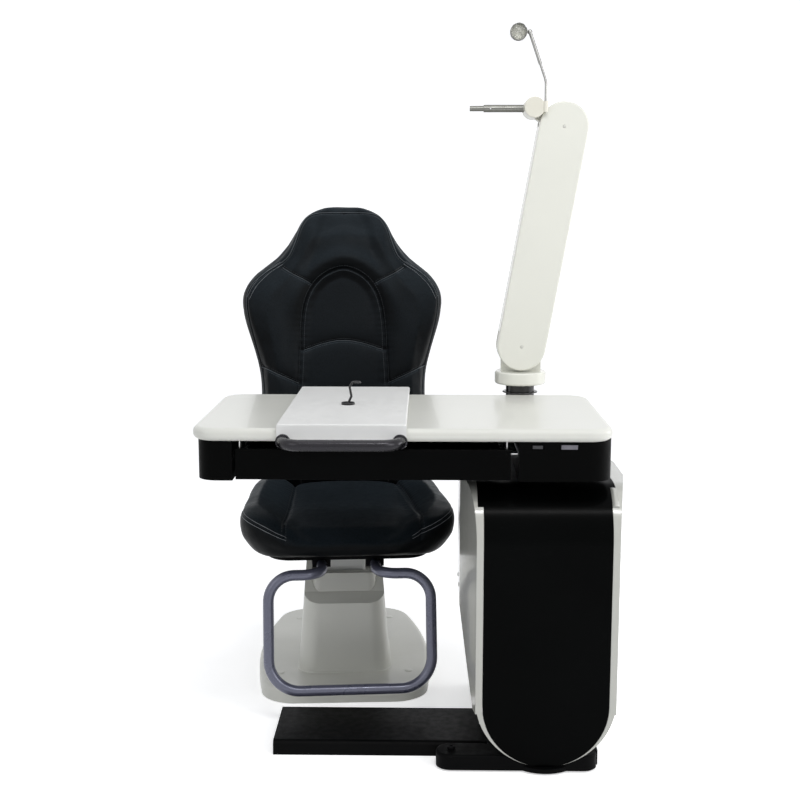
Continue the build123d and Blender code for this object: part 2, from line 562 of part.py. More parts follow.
def table_frame():
    """Head plate on the ram, two bars and a cross beam that the board is screwed to."""
    z0, z1 = ram_top_z, table_under_z
    frame = slab(-head_half, head_half, -head_half, head_half, z0, z0 + head_t)
    for x in (-head_half, head_half - arm_bar_w):
        frame += slab(x, x + arm_bar_w, -arm_bar_front, beam_y0, z0 + head_t, z1)
    x0 = table_x0 + apron_inset + apron_left_w + beam_left_gap
    x1 = table_x1 - apron_right_inset - apron_wall - beam_right_gap
    beam = slab(x0, x1, beam_y0, beam_y1, z0 + head_t, z1)
    beam -= slab(x0 - overrun, x1 + overrun, beam_y0 + beam_wall, beam_y1 - beam_wall,
                 z0 + head_t + beam_wall, z1 - beam_wall)
    return frame + beam


def post_clamp():
    """Plate from the cross beam with a ring that grips the instrument post."""
    outer = post_r + clamp_wall
    z1 = table_under_z
    z0 = z1 - clamp_h
    plate = slab(post_x - outer, post_x + outer, beam_y1, post_y, z0, z1)
    ring = rod(outer, (post_x, post_y, z0), (post_x, post_y, z1))
    bore = rod(post_r + clamp_gap, (post_x, post_y, z0 - overrun), (post_x, post_y, z1 + overrun))
    return plate + ring - bore


def instrument_post():
    post = rod(post_r, (post_x, post_y, post_low_z), (post_x, post_y, post_top_z))
    return post + rod(spigot_r, (post_x, post_y, post_top_z), (post_x, post_y, post_top_z + spigot_h))


# Switches

def rocker_seat():
    """Centre, half width and half height of the rocker's bezel hole."""
    return (table_x1 - rocker_from_right, table_under_z - rocker_drop,
            rocker_w / 2 + bezel_w, rocker_h / 2 + bezel_w)


def button_seat():
    return (table_x1 - button_from_right, table_under_z - rocker_drop,
            button_w / 2 + bezel_w, button_h / 2 + bezel_w)


def switch_bodies():
    """The two switches' housings, each with a bezel and a pocket for its moving cap."""
    bodies = []
    for (x, z, w, h), deep in ((rocker_seat(), rocker_t), (button_seat(), button_t)):
        hw, hh = w - bezel_w + switch_gap, h - bezel_w + switch_gap
        y0 = apron_y0 - bezel_t
        body = slab(x - w + bezel_gap, x + w - bezel_gap, y0, apron_y0 + switch_depth,
                    z - h + bezel_gap, z + h - bezel_gap)
        body -= slab(x - hw, x + hw, y0 - overrun, apron_y0 + deep + button_travel, z - hh, z + hh)
        bodies.append(body)
    x, z = rocker_seat()[0], rocker_seat()[1]
    pin_y = apron_y0 + rocker_t / 2
    reach = rocker_h / 2 + switch_gap + rocker_pin_r
    bodies[0] -= rod(rocker_pin_r + pin_gap, (x, pin_y, z - reach), (x, pin_y, z + reach))
    return Compound(bodies)


def lift_rocker():
    """Rocking cap with its two pivot stubs."""
    x, z, w, h = rocker_seat()
    hw, hh = w - bezel_w, h - bezel_w
    y0 = apron_y0 - bezel_t - rocker_proud
    cap = slab(x - hw, x + hw, y0, apron_y0 + rocker_t - bezel_t, z - hh, z + hh)
    cap = fillet(cap.edges().filter_by(Axis.Z).group_by(Axis.Y)[0], rocker_pin_r)
    pin_y = apron_y0 + rocker_t / 2
    reach = hh + switch_gap + rocker_pin_r / 2
    return cap + rod(rocker_pin_r, (x, pin_y, z - reach), (x, pin_y, z + reach))


def lamp_button():
    x, z, w, h = button_seat()
    hw, hh = w - bezel_w, h - bezel_w
    cap = slab(x - hw, x + hw, apron_y0 - bezel_t - rocker_proud, apron_y0 + button_t - bezel_t, z - hh, z + hh)
    return fillet(cap.edges().filter_by(Axis.Z).group_by(Axis.Y)[0], rocker_pin_r)


# Instrument arm

def stadium(radius, y0, y1, length):
    """Two round ends and what lies between them, standing up from the lower pivot."""
    ends = rod(radius, (0, y0, 0), (0, y1, 0)) + rod(radius, (0, y0, length), (0, y1, length))
    return ends + slab(-radius, radius, y0, y1, 0, length)


def arm_pose(shape):
    """Lean a shape drawn on the upright arm and set it on the lower pivot."""
    return Location((post_x, post_y, low_pivot_z), (0, arm_lean, 0)) * shape


def arm_collar():
    """Turning collar on the post with the flat neck that carries the arm."""
    collar = rod(collar_r, (post_x, post_y, collar_z0), (post_x, post_y, collar_z1))
    collar = fillet(collar.edges().group_by(Axis.Z)[0], collar_edge_r)
    collar = chamfer(collar.edges().group_by(Axis.Z)[-1], collar_edge_r / 2)
    y0, y1 = post_y - neck_t / 2, post_y + neck_t / 2
    neck = slab(post_x - neck_half, post_x + neck_half, y0, y1, collar_z1 - overrun, low_pivot_z)
    neck += rod(neck_half, (post_x, y0, low_pivot_z), (post_x, y1, low_pivot_z))
    shape = collar + neck
    shape -= rod(spigot_r + spigot_gap, (post_x, post_y, collar_z0 - overrun),
                 (post_x, post_y, collar_z0 + spigot_h))
    shape -= cross_pin(pin_r + pin_gap, post_x, low_pivot_z, arm_t / 2)
    return shape - cross_pin(link_pin_r + pin_gap, post_x + link_dx, low_pivot_z + link_dz, arm_t / 2)


def cross_pin(radius, x, z, half):
    """A pin along Y, centred on the arm."""
    return rod(radius, (x, post_y - half, z), (x, post_y + half, z))


def arm_slots():
    """What the neck and the head sweep through as the arm tilts, in the upright arm's frame."""
    half_t = neck_t / 2 + slot_gap
    wide = neck_half + slot_gap
    drop = low_pivot_z - collar_z1 + arm_r
    neck = rod(wide, (0, -half_t, 0), (0, half_t, 0)) + slab(-wide, wide, -half_t, half_t, -drop, 0)
    bar = head_neck_half + slot_gap
    head = slab(0, boss_reach + boss_r, -half_t, half_t, -bar, bar)
    head = Rot(0, boss_angle - 180, 0) * head + rod(head_eye_r + slot_gap, (0, -half_t, 0), (0, half_t, 0))
    cut = None
    for step in range(arm_cuts):
        tilt = tilt_low + (tilt_high - tilt_low) * step / (arm_cuts - 1)
        turn = Rot(0, -(arm_lean + tilt), 0)
        both = turn * neck + Pos(0, 0, arm_len) * (turn * head)
        cut = both if cut is None else cut + both
    return cut


def arm_cover(front):
    """Half of the arm's moulded cover, slotted for the neck and the head."""
    outer = stadium(arm_r, -arm_t / 2, arm_t / 2, arm_len)
    faces = outer.edges().group_by(Axis.Y)
    outer = fillet(faces[0] + faces[-1], arm_edge_r)
    shell = outer - stadium(arm_r - arm_wall, arm_wall - arm_t / 2, arm_t / 2 - arm_wall, arm_len)
    shell -= arm_slots()
    reach = arm_len + 2 * arm_r
    if front:
        half = slab(-reach, reach, -arm_t, -arm_gap / 2, -reach, reach)
        for z in (0, arm_len):
            shell -= rod(cap_r, (0, -arm_t / 2 - overrun, z), (0, -arm_t / 2 + cap_t, z))
    else:
        half = slab(-reach, reach, arm_gap / 2, arm_t, -reach, reach)
    return arm_pose(shell & half)


def arm_beam():
    """Two cheek plates with a spacer, pinned to the neck and the head."""
    y0 = neck_t / 2 + cheek_gap
    cheeks = stadium(cheek_half, y0, y0 + cheek_t, arm_len) + stadium(cheek_half, -y0 - cheek_t, -y0, arm_len)
    clear = neck_half + cheek_half
    beam = cheeks + slab(-cheek_half / 2, cheek_half / 2, -y0, y0, clear, arm_len - clear)
    for z in (0, arm_len):
        beam -= rod(pin_r + pin_gap, (0, -arm_t, z), (0, arm_t, z))
    ties = []
    for z in (arm_len / 4, arm_len * 3 / 4):
        ties.append(slab(-cheek_half, cheek_half, y0 + cheek_t, arm_t / 2 - arm_wall, z - cheek_half, z + cheek_half))
        ties.append(slab(-cheek_half, cheek_half, arm_wall - arm_t / 2, -y0 - cheek_t, z - cheek_half, z + cheek_half))
    for tie in ties:
        beam += tie
    return arm_pose(beam)


def arm_pins():
    half = neck_t / 2 + cheek_gap + cheek_t
    pins = [rod(pin_r, (0, -half, z), (0, half, z)) for z in (0, arm_len)]
    return arm_pose(Compound(pins))


def level_link():
    """Bar beside the beam that keeps the head level, with its two pins."""
    y0 = neck_t / 2 + cheek_gap
    bar = arm_pose(stadium(link_half, y0, y0 + cheek_t, arm_len))
    link = Pos(link_dx, 0, link_dz) * bar
    low = (post_x + link_dx, low_pivot_z + link_dz)
    high = (high_pivot_x + link_dx, high_pivot_z + link_dz)
    for x, z in (low, high):
        link += rod(link_pin_r, (x, post_y - neck_t / 2, z), (x, post_y + y0 + cheek_t / 2, z))
    return link


def head_block():
    """Flat eye on the upper pivot, with the round boss that holds the rod and the lamp's lug."""
    y0, y1 = post_y - neck_t / 2, post_y + neck_t / 2
    eye = rod(head_eye_r, (high_pivot_x, y0, high_pivot_z), (high_pivot_x, y1, high_pivot_z))
    bar = slab(0, boss_reach, -neck_t / 2, neck_t / 2, -head_neck_half, head_neck_half)
    bar = Pos(high_pivot_x, post_y, high_pivot_z) * (Rot(0, boss_angle - 180, 0) * bar)
    boss = rod(boss_r, (boss_x, boss_y0, boss_z), (boss_x, boss_y1, boss_z))
    boss = fillet(boss.edges().group_by(Axis.Y)[0] + boss.edges().group_by(Axis.Y)[-1], boss_edge_r)
    lug = rod(lug_r, (stalk_x, stalk_y, lug_z0), (stalk_x, stalk_y, lug_z1))
    block = eye + bar + boss + lug
    block -= rod(rod_r + pin_gap, (boss_x - boss_r - overrun, post_y, boss_z), (rod_end_x() + clamp_gap, post_y, boss_z))
    block -= rod(knob_stem_r + pin_gap, (boss_x, post_y + rod_r, boss_z), (boss_x, boss_y1 + overrun, boss_z))
    block -= rod(stalk_r + pin_gap, (stalk_x, stalk_y, lug_z1 - stalk_seat), (stalk_x, stalk_y, lug_z1 + overrun))
    block -= cross_pin(pin_r + pin_gap, high_pivot_x, high_pivot_z, arm_t / 2)
    return block - cross_pin(link_pin_r + open_pivot_gap, high_pivot_x + link_dx, high_pivot_z + link_dz, arm_t / 2)


def rod_end_x():
    """The rod's inner end, past the boss's middle by its seat."""
    return boss_x - boss_r + rod_seat


def instrument_rod():
    """Steel rod that the instrument hangs on, with a thinner tip and a locking hole."""
    end = rod_end_x()
    mid = boss_x - boss_r - rod_len + rod_tip_len
    tip = boss_x - boss_r - rod_len
    bar = rod(rod_r, (mid, post_y, boss_z), (end, post_y, boss_z))
    bar += rod(rod_tip_r, (tip, post_y, boss_z), (mid, post_y, boss_z))
    hole_x = mid + rod_tip_len / 2
    return bar - rod(rod_hole_r, (hole_x, post_y - rod_r - overrun, boss_z), (hole_x, post_y + rod_r + overrun, boss_z))


def clamp_knob():
    """Fluted knob behind the boss, its stem reaching in to the rod."""
    y0 = boss_y1 + knob_gap
    knob = rod(knob_r, (boss_x, y0, boss_z), (boss_x, y0 + knob_t, boss_z))
    for step in range(knob_grips):
        angle = 2 * math.pi * step / knob_grips
        x, z = boss_x + knob_r * math.cos(angle), boss_z + knob_r * math.sin(angle)
        knob -= rod(knob_stem_r, (x, y0 - overrun, z), (x, y0 + knob_t + overrun, z))
    return knob + rod(knob_stem_r, (boss_x, post_y + rod_r + knob_gap, boss_z), (boss_x, y0, boss_z))


def stalk_points():
    """The lamp stalk's foot, bend and end."""
    lean = math.radians(stalk_lean)
    bend_z = lug_z1 + stalk_up
    return [(stalk_x, stalk_y, lug_z1 - stalk_seat), (stalk_x, stalk_y, bend_z),
            (stalk_x - stalk_arm * math.sin(lean), stalk_y, bend_z + stalk_arm * math.cos(lean))]


def lamp_stalk():
    """Bent bright rod with a sleeve and a ball end that holds the lamp's pin."""
    foot, bend, end = stalk_points()
    path = FilletPolyline(foot, bend, end, radius=stalk_bend_r)
    stalk = sweep(Plane(origin=path @ 0, z_dir=path % 0) * Circle(stalk_r), path=path)
    start = Vector(*bend) + (Vector(*end) - Vector(*bend)) * sleeve_share
    stalk += rod(sleeve_r, tuple(start), end)
    stalk += Pos(*end) * Sphere(ball_r)
    return stalk - rod(lamp_pin_r + pin_gap, (end[0] - 2 * ball_r, end[1], end[2]), (end[0] + ball_r / 2, end[1], end[2]))


def lamp_centre():
    end = stalk_points()[2]
    return end[0] - lamp_side, end[1], end[2]


def lamp_head():
    """Round reflector housing with a notched rim, turning on a side pin."""
    x, y, z = lamp_centre()
    y0, y1 = y - lamp_t / 2, y + lamp_t / 2
    body = rod(lamp_r, (x, y0, z), (x, y1, z))
    back = body.edges().group_by(Axis.Y)[-1]
    body = fillet(back, lamp_back_r)
    body -= rod(lamp_r - lamp_rim, (x, y0 - overrun, z), (x, y1 - lamp_back_r, z))
    for step in range(lamp_notches):
        angle = 180 + 360 / lamp_notches * step
        notch = slab(lamp_r - 2 * lamp_rim, lamp_r + overrun, y0 - overrun, y0 + notch_d, -notch_w / 2, notch_w / 2)
        body -= Pos(x, 0, z) * (Rot(0, angle, 0) * notch)
    return body + rod(lamp_pin_r, (x + lamp_r - lamp_rim / 2, y, z), (x + lamp_side, y, z))


def lamp_lens():
    x, y, z = lamp_centre()
    y0 = y - lamp_t / 2 + lens_setback
    return rod(lamp_r - lamp_rim, (x, y0, z), (x, y0 + lens_t, z))


# Chair, drawn straight on its pedestal's axis

def base_outline(inset, z0, z1):
    """The base cover's plan: straight nose, round shoulders, slightly swelling sides, blunt tail."""
    nose, tail = -base_front + inset, base_rear - inset
    a, b = base_front_half, base_shoulder_half - inset
    c, d = base_hip_half - inset, base_tail_half
    back = -base_front + base_shoulder_back
    hip = -base_front + base_hip_back
    wide = -base_front + base_wide_back
    curve = [Line((-a, nose), (a, nose)),
             ThreePointArc((a, nose), corner(a, nose, b, back, 1), (b, back)),
             ThreePointArc((b, back), (base_half - inset, wide), (c, hip)),
             ThreePointArc((c, hip), corner(d, tail, c, hip, 1), (d, tail)),
             Line((d, tail), (-d, tail)),
             ThreePointArc((-d, tail), corner(d, tail, c, hip, -1), (-c, hip)),
             ThreePointArc((-c, hip), (inset - base_half, wide), (-b, back)),
             ThreePointArc((-b, back), corner(a, nose, b, back, -1), (-a, nose))]
    return Pos(0, 0, z0) * extrude(make_face(curve), z1 - z0)


def corner(xa, ya, xb, yb, way):
    """A point on the quarter round between a nose or tail end and a side end."""
    share = math.sqrt(0.5)
    return way * (xa + (xb - xa) * share), yb + (ya - yb) * share


def chair_base_cover():
    z0 = base_cover_low_z
    outer = base_outline(0, z0, base_cover_h)
    outer = fillet(outer.edges().group_by(Axis.Z)[-1], base_edge_r)
    inner = base_outline(base_cover_wall, z0 - overrun, base_cover_h - base_cover_wall)
    inner = fillet(inner.edges().group_by(Axis.Z)[-1], base_edge_r - base_cover_wall)
    hole = stage_half + shell_wall
    cover = outer - inner
    return cover - post_block(hole, -hole, hole, 0, base_cover_h + overrun, stage_corner_r)


def chair_base_plate():
    return base_outline(base_cover_wall + base_plate_gap, base_foot_h, base_foot_h + base_plate_t)


def chair_base_feet():
    side = base_shoulder_half - 2 * base_foot_r
    ends = (-base_front + base_shoulder_back, base_rear - base_shoulder_back)
    pads = [Pos(x, y, base_foot_h / 2) * Cylinder(base_foot_r, base_foot_h)
            for x, y in ((-side, ends[0]), (side, ends[0]), (-side + base_foot_r * 2, ends[1]),
                         (side - base_foot_r * 2, ends[1]))]
    return Compound(pads)


def shell_loft(inset, z0, z1):
    """The pedestal cover's tapering body."""
    share0 = (z0 - base_cover_h) / (shell_hood_z - base_cover_h)
    share1 = (z1 - base_cover_h) / (shell_hood_z - base_cover_h)
    faces = []
    for z, s in ((z0, share0), (z1, share1)):
        half = shell_foot_half + (shell_top_half - shell_foot_half) * s - inset
        front = shell_front + (shell_top_front - shell_front) * s - inset
        rear = shell_rear + (shell_top_rear - shell_rear) * s - inset
        faces.append(Pos(0, (rear - front) / 2, z) * RectangleRounded(2 * half, front + rear, shell_corner_r - inset))
    return loft(faces)


def shell_cut(drop):
    """What is left above the cover's front rim, ledge and hood, lowered by a drop."""
    far = 2 * shell_front
    points = [(-far, shell_front_z - drop), (-shell_front, shell_front_z - drop),
              (-stage_front, shell_ledge_z - drop), (-stage_front / 3, shell_hood_z - drop),
              (far, shell_hood_z - drop), (far, 2 * shell_hood_z), (-far, 2 * shell_hood_z)]
    return side_prism(points, far)


def pedestal_outer_cover():
    """Fixed moulded cover: low in front, with a hood that rises behind the moving stage."""
    outer = shell_loft(0, base_cover_h, shell_hood_z) - shell_cut(0)
    inner = shell_loft(shell_wall, base_cover_h - overrun, shell_hood_z + overrun) - shell_cut(shell_wall)
    gap = stage_gap
    hole = post_block(stage_half + gap, -stage_front - gap, stage_rear + gap, 0, 2 * shell_hood_z,
                      stage_corner_r + gap)
    return outer - inner - hole


def stage_cover(half, front, rear, z0, z1, radius, hole):
    """A sleeve with a rim turned in at the top, round what slides through it."""
    outer = post_block(half, -front, rear, z0, z1, radius)
    inner = post_block(half - stage_wall, stage_wall - front, rear - stage_wall, z0 - overrun, z1 - stage_wall,
                       radius - stage_wall)
    return outer - inner - hole


def pedestal_middle_cover():
    gap = stage_gap
    hole = post_block(slim_half + gap, -slim_front - gap, slim_rear + gap, 0, shell_hood_z, slim_corner_r + gap)
    return stage_cover(stage_half, stage_front, stage_rear, stage_low_z, stage_top_z, stage_corner_r, hole)


def pedestal_inner_cover():
    half = chair_ram_half + stage_gap
    hole = post_block(half, -half, half, slim_low_z - overrun, mount_low_z + overrun, chair_ram_corner_r)
    return stage_cover(slim_half, slim_front, slim_rear, slim_low_z, mount_low_z, slim_corner_r, hole)


def chair_column():
    z0 = base_foot_h + base_plate_t
    return tube_block(chair_col_half, chair_col_wall, z0, chair_col_top_z, chair_col_corner_r)


def chair_ram():
    return tube_block(chair_ram_half, chair_col_wall, chair_ram_low_z, mount_low_z, chair_ram_corner_r)


def seat_mount():
    return post_block(mount_half_w, -mount_half_d, mount_half_d, mount_low_z, mount_low_z + mount_t, slim_corner_r)


def seat_pan():
    plate = post_block(pan_half_w, -pan_front, pan_rear, pan_low_z, pan_top_z, pan_corner_r)
    return fillet(plate.edges().group_by(Axis.Z)[0], pan_t / 3)


def pad_section(place, half, low, top, swell, seam_share, flat_share):
    """One cushion section: flat back, drawn-in sides, two bolsters, two grooves and a crown."""
    side, lip, seam, under = low + (top - low) * 0.45, half * 0.93, half * seam_share, half * flat_share
    high, ridge = top + swell, (half * 0.93 + half * seam_share) / 2
    edge = high - pad_crown

    def half_line(way):
        return [((under, low), (half * 0.9, low + (side - low) * 0.3), (half, side)),
                ((half, side), (half * 0.99, side + (edge - side) * 0.55), (lip, edge)),
                ((lip, edge), (ridge, (edge + top) / 2 + pad_crown), (seam, top - pad_groove))]

    curve = [Line(place(-under, low), place(under, low))]
    curve += [ThreePointArc(*[place(x, h) for x, h in arc]) for arc in half_line(1)]
    curve.append(ThreePointArc(place(seam, top - pad_groove), place(0, top), place(-seam, top - pad_groove)))
    curve += [ThreePointArc(*[place(-x, h) for x, h in reversed(arc)]) for arc in reversed(half_line(-1))]
    return make_face(curve)


def seat_cushion():
    """Seat pad: rounded front roll, side bolsters and two sewn channels, front to rear."""
    sections = []
    for along, wide, low, top, swell, seam, flat in seat_shares:
        y = -seat_front + (seat_front + seat_rear) * along
        height = seat_top_z - seat_low_z
        sections.append(pad_section(lambda x, h, y=y: (x, y, seat_low_z + h), seat_half * wide, height * low,
                                    height * top, seat_bolster * swell, seam, flat))
    above_pan = slab(-2 * seat_half, 2 * seat_half, -2 * seat_front, 2 * seat_rear, seat_low_z, 2 * seat_top_z)
    return loft(sections) & above_pan


def back_lean_place():
    """The back's rear face: its foot, leaning to the rear."""
    return Location((0, back_rear, back_low_z), (-back_lean, 0, 0))


def back_cushion():
    """Back pad with wings at the shoulders and a narrow head part, foot to top."""
    sections = []
    for along, wide, low, top, swell, seam, flat in back_shares:
        z = back_len * along
        sections.append(pad_section(lambda x, h, z=z: (x, -h, z), back_half * wide, back_thick * low,
                                    back_thick * top, back_wing * swell, seam, flat))
    before_shell = slab(-2 * back_half, 2 * back_half, -2 * back_thick, 0, -overrun, 2 * back_len)
    return back_lean_place() * (loft(sections) & before_shell)


def back_shell():
    """Moulded plate behind the back pad, with the pad's waist and shoulders."""
    right = [(back_half * wide, back_len * up) for up, wide in back_shell_shares]
    left = [(-x, z) for x, z in reversed(right)]
    outline = Spline(*right) + Line(right[-1], left[0]) + Spline(*left) + Line(left[-1], right[0])
    face = Plane.XZ * make_face(outline)
    plate = extrude(face, -back_shell_t)
    return back_lean_place() * (Pos(0, pad_gap, 0) * plate)


def back_struts():
    """Two bent flat bars from under the seat pan to the back shell."""
    lean = math.radians(back_lean)
    off = pad_gap + back_shell_t
    foot_y, foot_z = back_rear + off * math.cos(lean), back_low_z - off * math.sin(lean)
    low_z = pan_low_z - strut_t
    bend_y = foot_y - (foot_z - low_z) * math.tan(lean)
    top = (foot_y + strut_len * math.sin(lean), foot_z + strut_len * math.cos(lean))
    line = [(pan_rear - strut_foot, low_z), (bend_y + strut_t, low_z),
            (top[0] + strut_t * math.cos(lean), top[1] - strut_t * math.sin(lean)), top,
            (bend_y + strut_t * math.tan(lean), pan_low_z), (pan_rear - strut_foot, pan_low_z)]
    bar = side_prism(line, strut_w / 2)
    return Compound([Pos(-strut_side, 0, 0) * bar, Pos(strut_side, 0, 0) * bar])


def ring_points():
    low = [(-ring_half, -ring_front, ring_low_z), (ring_half, -ring_front, ring_low_z)]
    left = [(-ring_rail_half, -ring_end, ring_top_z), (-ring_rail_half, -ring_top_front, ring_top_z),
            (-ring_half, -ring_top_front, ring_top_z)]
    right = [(-x, y, z) for x, y, z in reversed(left)]
    return left + low + right


def footrest_ring():
    """Bent tube: two rails under the seat pan, out to the sides, down and across."""
    bends = [ring_rail_bend, ring_top_bend, ring_low_bend, ring_low_bend, ring_top_bend, ring_rail_bend]
    path = FilletPolyline(*ring_points(), radius=bends)
    return sweep(Plane(origin=path @ 0, z_dir=path % 0) * Circle(ring_r), path=path)


def footrest_clamps():
    """Saddle blocks that hold the ring's rails against the seat pan."""
    blocks = []
    for x in (-ring_rail_half, ring_rail_half):
        for y in (-ring_end - clamp_block_d, -pan_front + clamp_block_d):
            y0, y1 = y - clamp_block_d / 2, y + clamp_block_d / 2
            block = slab(x - clamp_block_w / 2, x + clamp_block_w / 2, y0, y1,
                         ring_top_z - ring_r / 2, pan_low_z)
            bore = rod(ring_r + clamp_gap, (x, y0 - overrun, ring_top_z), (x, y1 + overrun, ring_top_z))
            blocks.append(block - bore)
    return Compound(blocks)


chair_parts = {
    "chair_base_plate": chair_base_plate, "chair_base_feet": chair_base_feet,
    "chair_base_cover": chair_base_cover, "pedestal_outer_cover": pedestal_outer_cover,
    "chair_column": chair_column, "pedestal_middle_cover": pedestal_middle_cover,
    "pedestal_inner_cover": pedestal_inner_cover, "chair_ram": chair_ram, "seat_mount": seat_mount,
}

seat_parts = {
    "seat_pan": seat_pan, "seat_cushion": seat_cushion, "back_shell": back_shell,
    "back_cushion": back_cushion, "back_struts": back_struts, "footrest_ring": footrest_ring,
    "footrest_clamps": footrest_clamps,
}

table_parts = {
    "base_frame": base_frame, "levelling_feet": levelling_feet, "foot_plate": foot_plate,
    "cabinet_liner": cabinet_liner, "cabinet_front_panel": cabinet_front_panel,
    "cabinet_rear_panel": cabinet_rear_panel, "cabinet_top_cap": cabinet_top_cap,
    "lift_column_outer": lift_column_outer, "column_glides": column_glides,
    "lift_actuator": lift_actuator, "power_unit": power_unit, "lift_column_ram": lift_column_ram,
    "lift_spindle": lift_spindle, "table_frame": table_frame, "tabletop": tabletop,
    "apron_left": apron_left, "apron_right": apron_right, "drawer_runners": drawer_runners,
    "instrument_post": instrument_post, "post_clamp": post_clamp, "switch_bodies": switch_bodies,
    "drawer_front": drawer_front, "drawer_box": drawer_box, "drawer_slide_bars": drawer_slide_bars,
    "instrument_tray": instrument_tray, "tray_handle": tray_handle, "tray_glides": tray_glides,
    "cable_guide": cable_guide, "lift_rocker": lift_rocker, "lamp_button": lamp_button,
    "arm_collar": arm_collar, "arm_beam": arm_beam, "arm_pins": arm_pins, "level_link": level_link,
    "head_block": head_block, "instrument_rod": instrument_rod, "clamp_knob": clamp_knob,
    "lamp_stalk": lamp_stalk, "lamp_head": lamp_head, "lamp_lens": lamp_lens,
}

os.makedirs("parts", exist_ok=True)
made = {name: chair_place * make() for name, make in chair_parts.items()}
made.update({name: seat_place * make() for name, make in seat_parts.items()})
made.update({name: make() for name, make in table_parts.items()})
made["cabinet_side_cover_left"] = cabinet_side_cover(-1)
made["cabinet_side_cover_right"] = cabinet_side_cover(1)
made["arm_cover_front"] = arm_cover(True)
made["arm_cover_rear"] = arm_cover(False)
for name, shape in made.items():
    export_step(shape, "parts/" + name + ".step")
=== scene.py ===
# A refraction unit: an instrument table on a lift column, with its arm, and a chair behind it.
# Metres, +Z up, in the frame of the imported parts. The operator stands at -Y.
from math import atan2, cos, pi, radians, sin

import bmesh
import bpy
import numpy as np
from mathutils import Matrix, Vector
from mathutils.bvhtree import BVHTree


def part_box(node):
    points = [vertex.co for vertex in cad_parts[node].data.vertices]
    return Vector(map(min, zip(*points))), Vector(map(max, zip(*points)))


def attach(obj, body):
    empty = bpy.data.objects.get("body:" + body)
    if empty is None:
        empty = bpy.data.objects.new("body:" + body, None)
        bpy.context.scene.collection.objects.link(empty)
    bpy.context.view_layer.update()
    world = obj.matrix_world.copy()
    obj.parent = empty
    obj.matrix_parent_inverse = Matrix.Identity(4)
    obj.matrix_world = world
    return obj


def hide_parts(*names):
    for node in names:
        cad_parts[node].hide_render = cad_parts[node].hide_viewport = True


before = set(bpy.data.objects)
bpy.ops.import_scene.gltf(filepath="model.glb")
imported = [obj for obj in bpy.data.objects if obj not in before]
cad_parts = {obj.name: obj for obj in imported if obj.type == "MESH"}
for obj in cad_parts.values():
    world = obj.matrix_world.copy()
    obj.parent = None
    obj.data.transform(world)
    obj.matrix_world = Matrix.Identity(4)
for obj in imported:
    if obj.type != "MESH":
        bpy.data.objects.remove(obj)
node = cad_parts
scene = bpy.context.scene
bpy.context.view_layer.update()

# Floor frame: welded box section, sprayed with a fine black powder that is baked on.
# It stands on turned rubber pads, and the levelling screw's head shows beside the cabinet.


def new_group(name, takes):
    """An empty shader group that gives a colour, a roughness and a normal, and its two ends."""
    group = bpy.data.node_groups.new(name, "ShaderNodeTree")
    for label, kind, value in takes:
        group.interface.new_socket(label, in_out="INPUT", socket_type="NodeSocket" + kind).default_value = value
    for label, kind in (("Color", "Color"), ("Roughness", "Float"), ("Normal", "Vector")):
        group.interface.new_socket(label, in_out="OUTPUT", socket_type="NodeSocket" + kind)
    return group, group.nodes.new("NodeGroupInput").outputs, group.nodes.new("NodeGroupOutput").inputs


def feed(tree, socket, value):
    """Sets a socket to a number or links it to another socket."""
    if isinstance(value, (int, float)):
        socket.default_value = value
    else:
        tree.links.new(value, socket)


def object_place(tree):
    """The object coordinates, the same for every piece because all stand at the origin."""
    return tree.nodes.new("ShaderNodeTexCoord").outputs["Object"]


def facing_of(tree):
    """The surface normal without any bump."""
    return tree.nodes.new("ShaderNodeNewGeometry").outputs["Normal"]


def noise_of(tree, vector, scale, detail, gives="Fac"):
    """A noise texture on a vector, its scale a number or a socket."""
    noise = tree.nodes.new("ShaderNodeTexNoise")
    noise.inputs["Detail"].default_value = detail
    tree.links.new(vector, noise.inputs["Vector"])
    feed(tree, noise.inputs["Scale"], scale)
    return noise.outputs[gives]


def sum_of(tree, kind, first, second):
    """One step of arithmetic between sockets or numbers."""
    step = tree.nodes.new("ShaderNodeMath")
    step.operation = kind
    feed(tree, step.inputs[0], first)
    feed(tree, step.inputs[1], second)
    return step.outputs[0]


def spread_of(tree, value, low, high, start=0.35, end=0.65):
    """A value between start and end, where most noise lies, spread between two others."""
    spread = tree.nodes.new("ShaderNodeMapRange")
    for label, edge in (("Value", value), ("From Min", start), ("From Max", end), ("To Min", low), ("To Max", high)):
        feed(tree, spread.inputs[label], edge)
    return spread.outputs[0]


def about_one(tree, value, share):
    """A noise value spread by a share to both sides of 1."""
    return spread_of(tree, value, sum_of(tree, "SUBTRACT", 1.0, share), sum_of(tree, "ADD", 1.0, share))


def bumped(tree, height, distance, under):
    """A bump of a height in metres over an underlying normal."""
    bump = tree.nodes.new("ShaderNodeBump")
    for label, value in (("Height", height), ("Distance", distance), ("Normal", under)):
        tree.links.new(value, bump.inputs[label])
    return bump.outputs[0]


def edge_of(tree, radius):
    """Softened edges, and a mask that is 1 on them."""
    soft = tree.nodes.new("ShaderNodeBevel")
    soft.samples = 4
    tree.links.new(radius, soft.inputs["Radius"])
    agree = tree.nodes.new("ShaderNodeVectorMath")
    agree.operation = "DOT_PRODUCT"
    tree.links.new(soft.outputs[0], agree.inputs[0])
    tree.links.new(facing_of(tree), agree.inputs[1])
    return soft.outputs[0], spread_of(tree, agree.outputs["Value"], 0.0, 1.0, 1.0, 0.8)


def shaded(tree, color, value):
    """A colour made lighter or darker by a value round 1."""
    tone = tree.nodes.new("ShaderNodeHueSaturation")
    tree.links.new(color, tone.inputs["Color"])
    tree.links.new(value, tone.inputs["Value"])
    return tone.outputs[0]


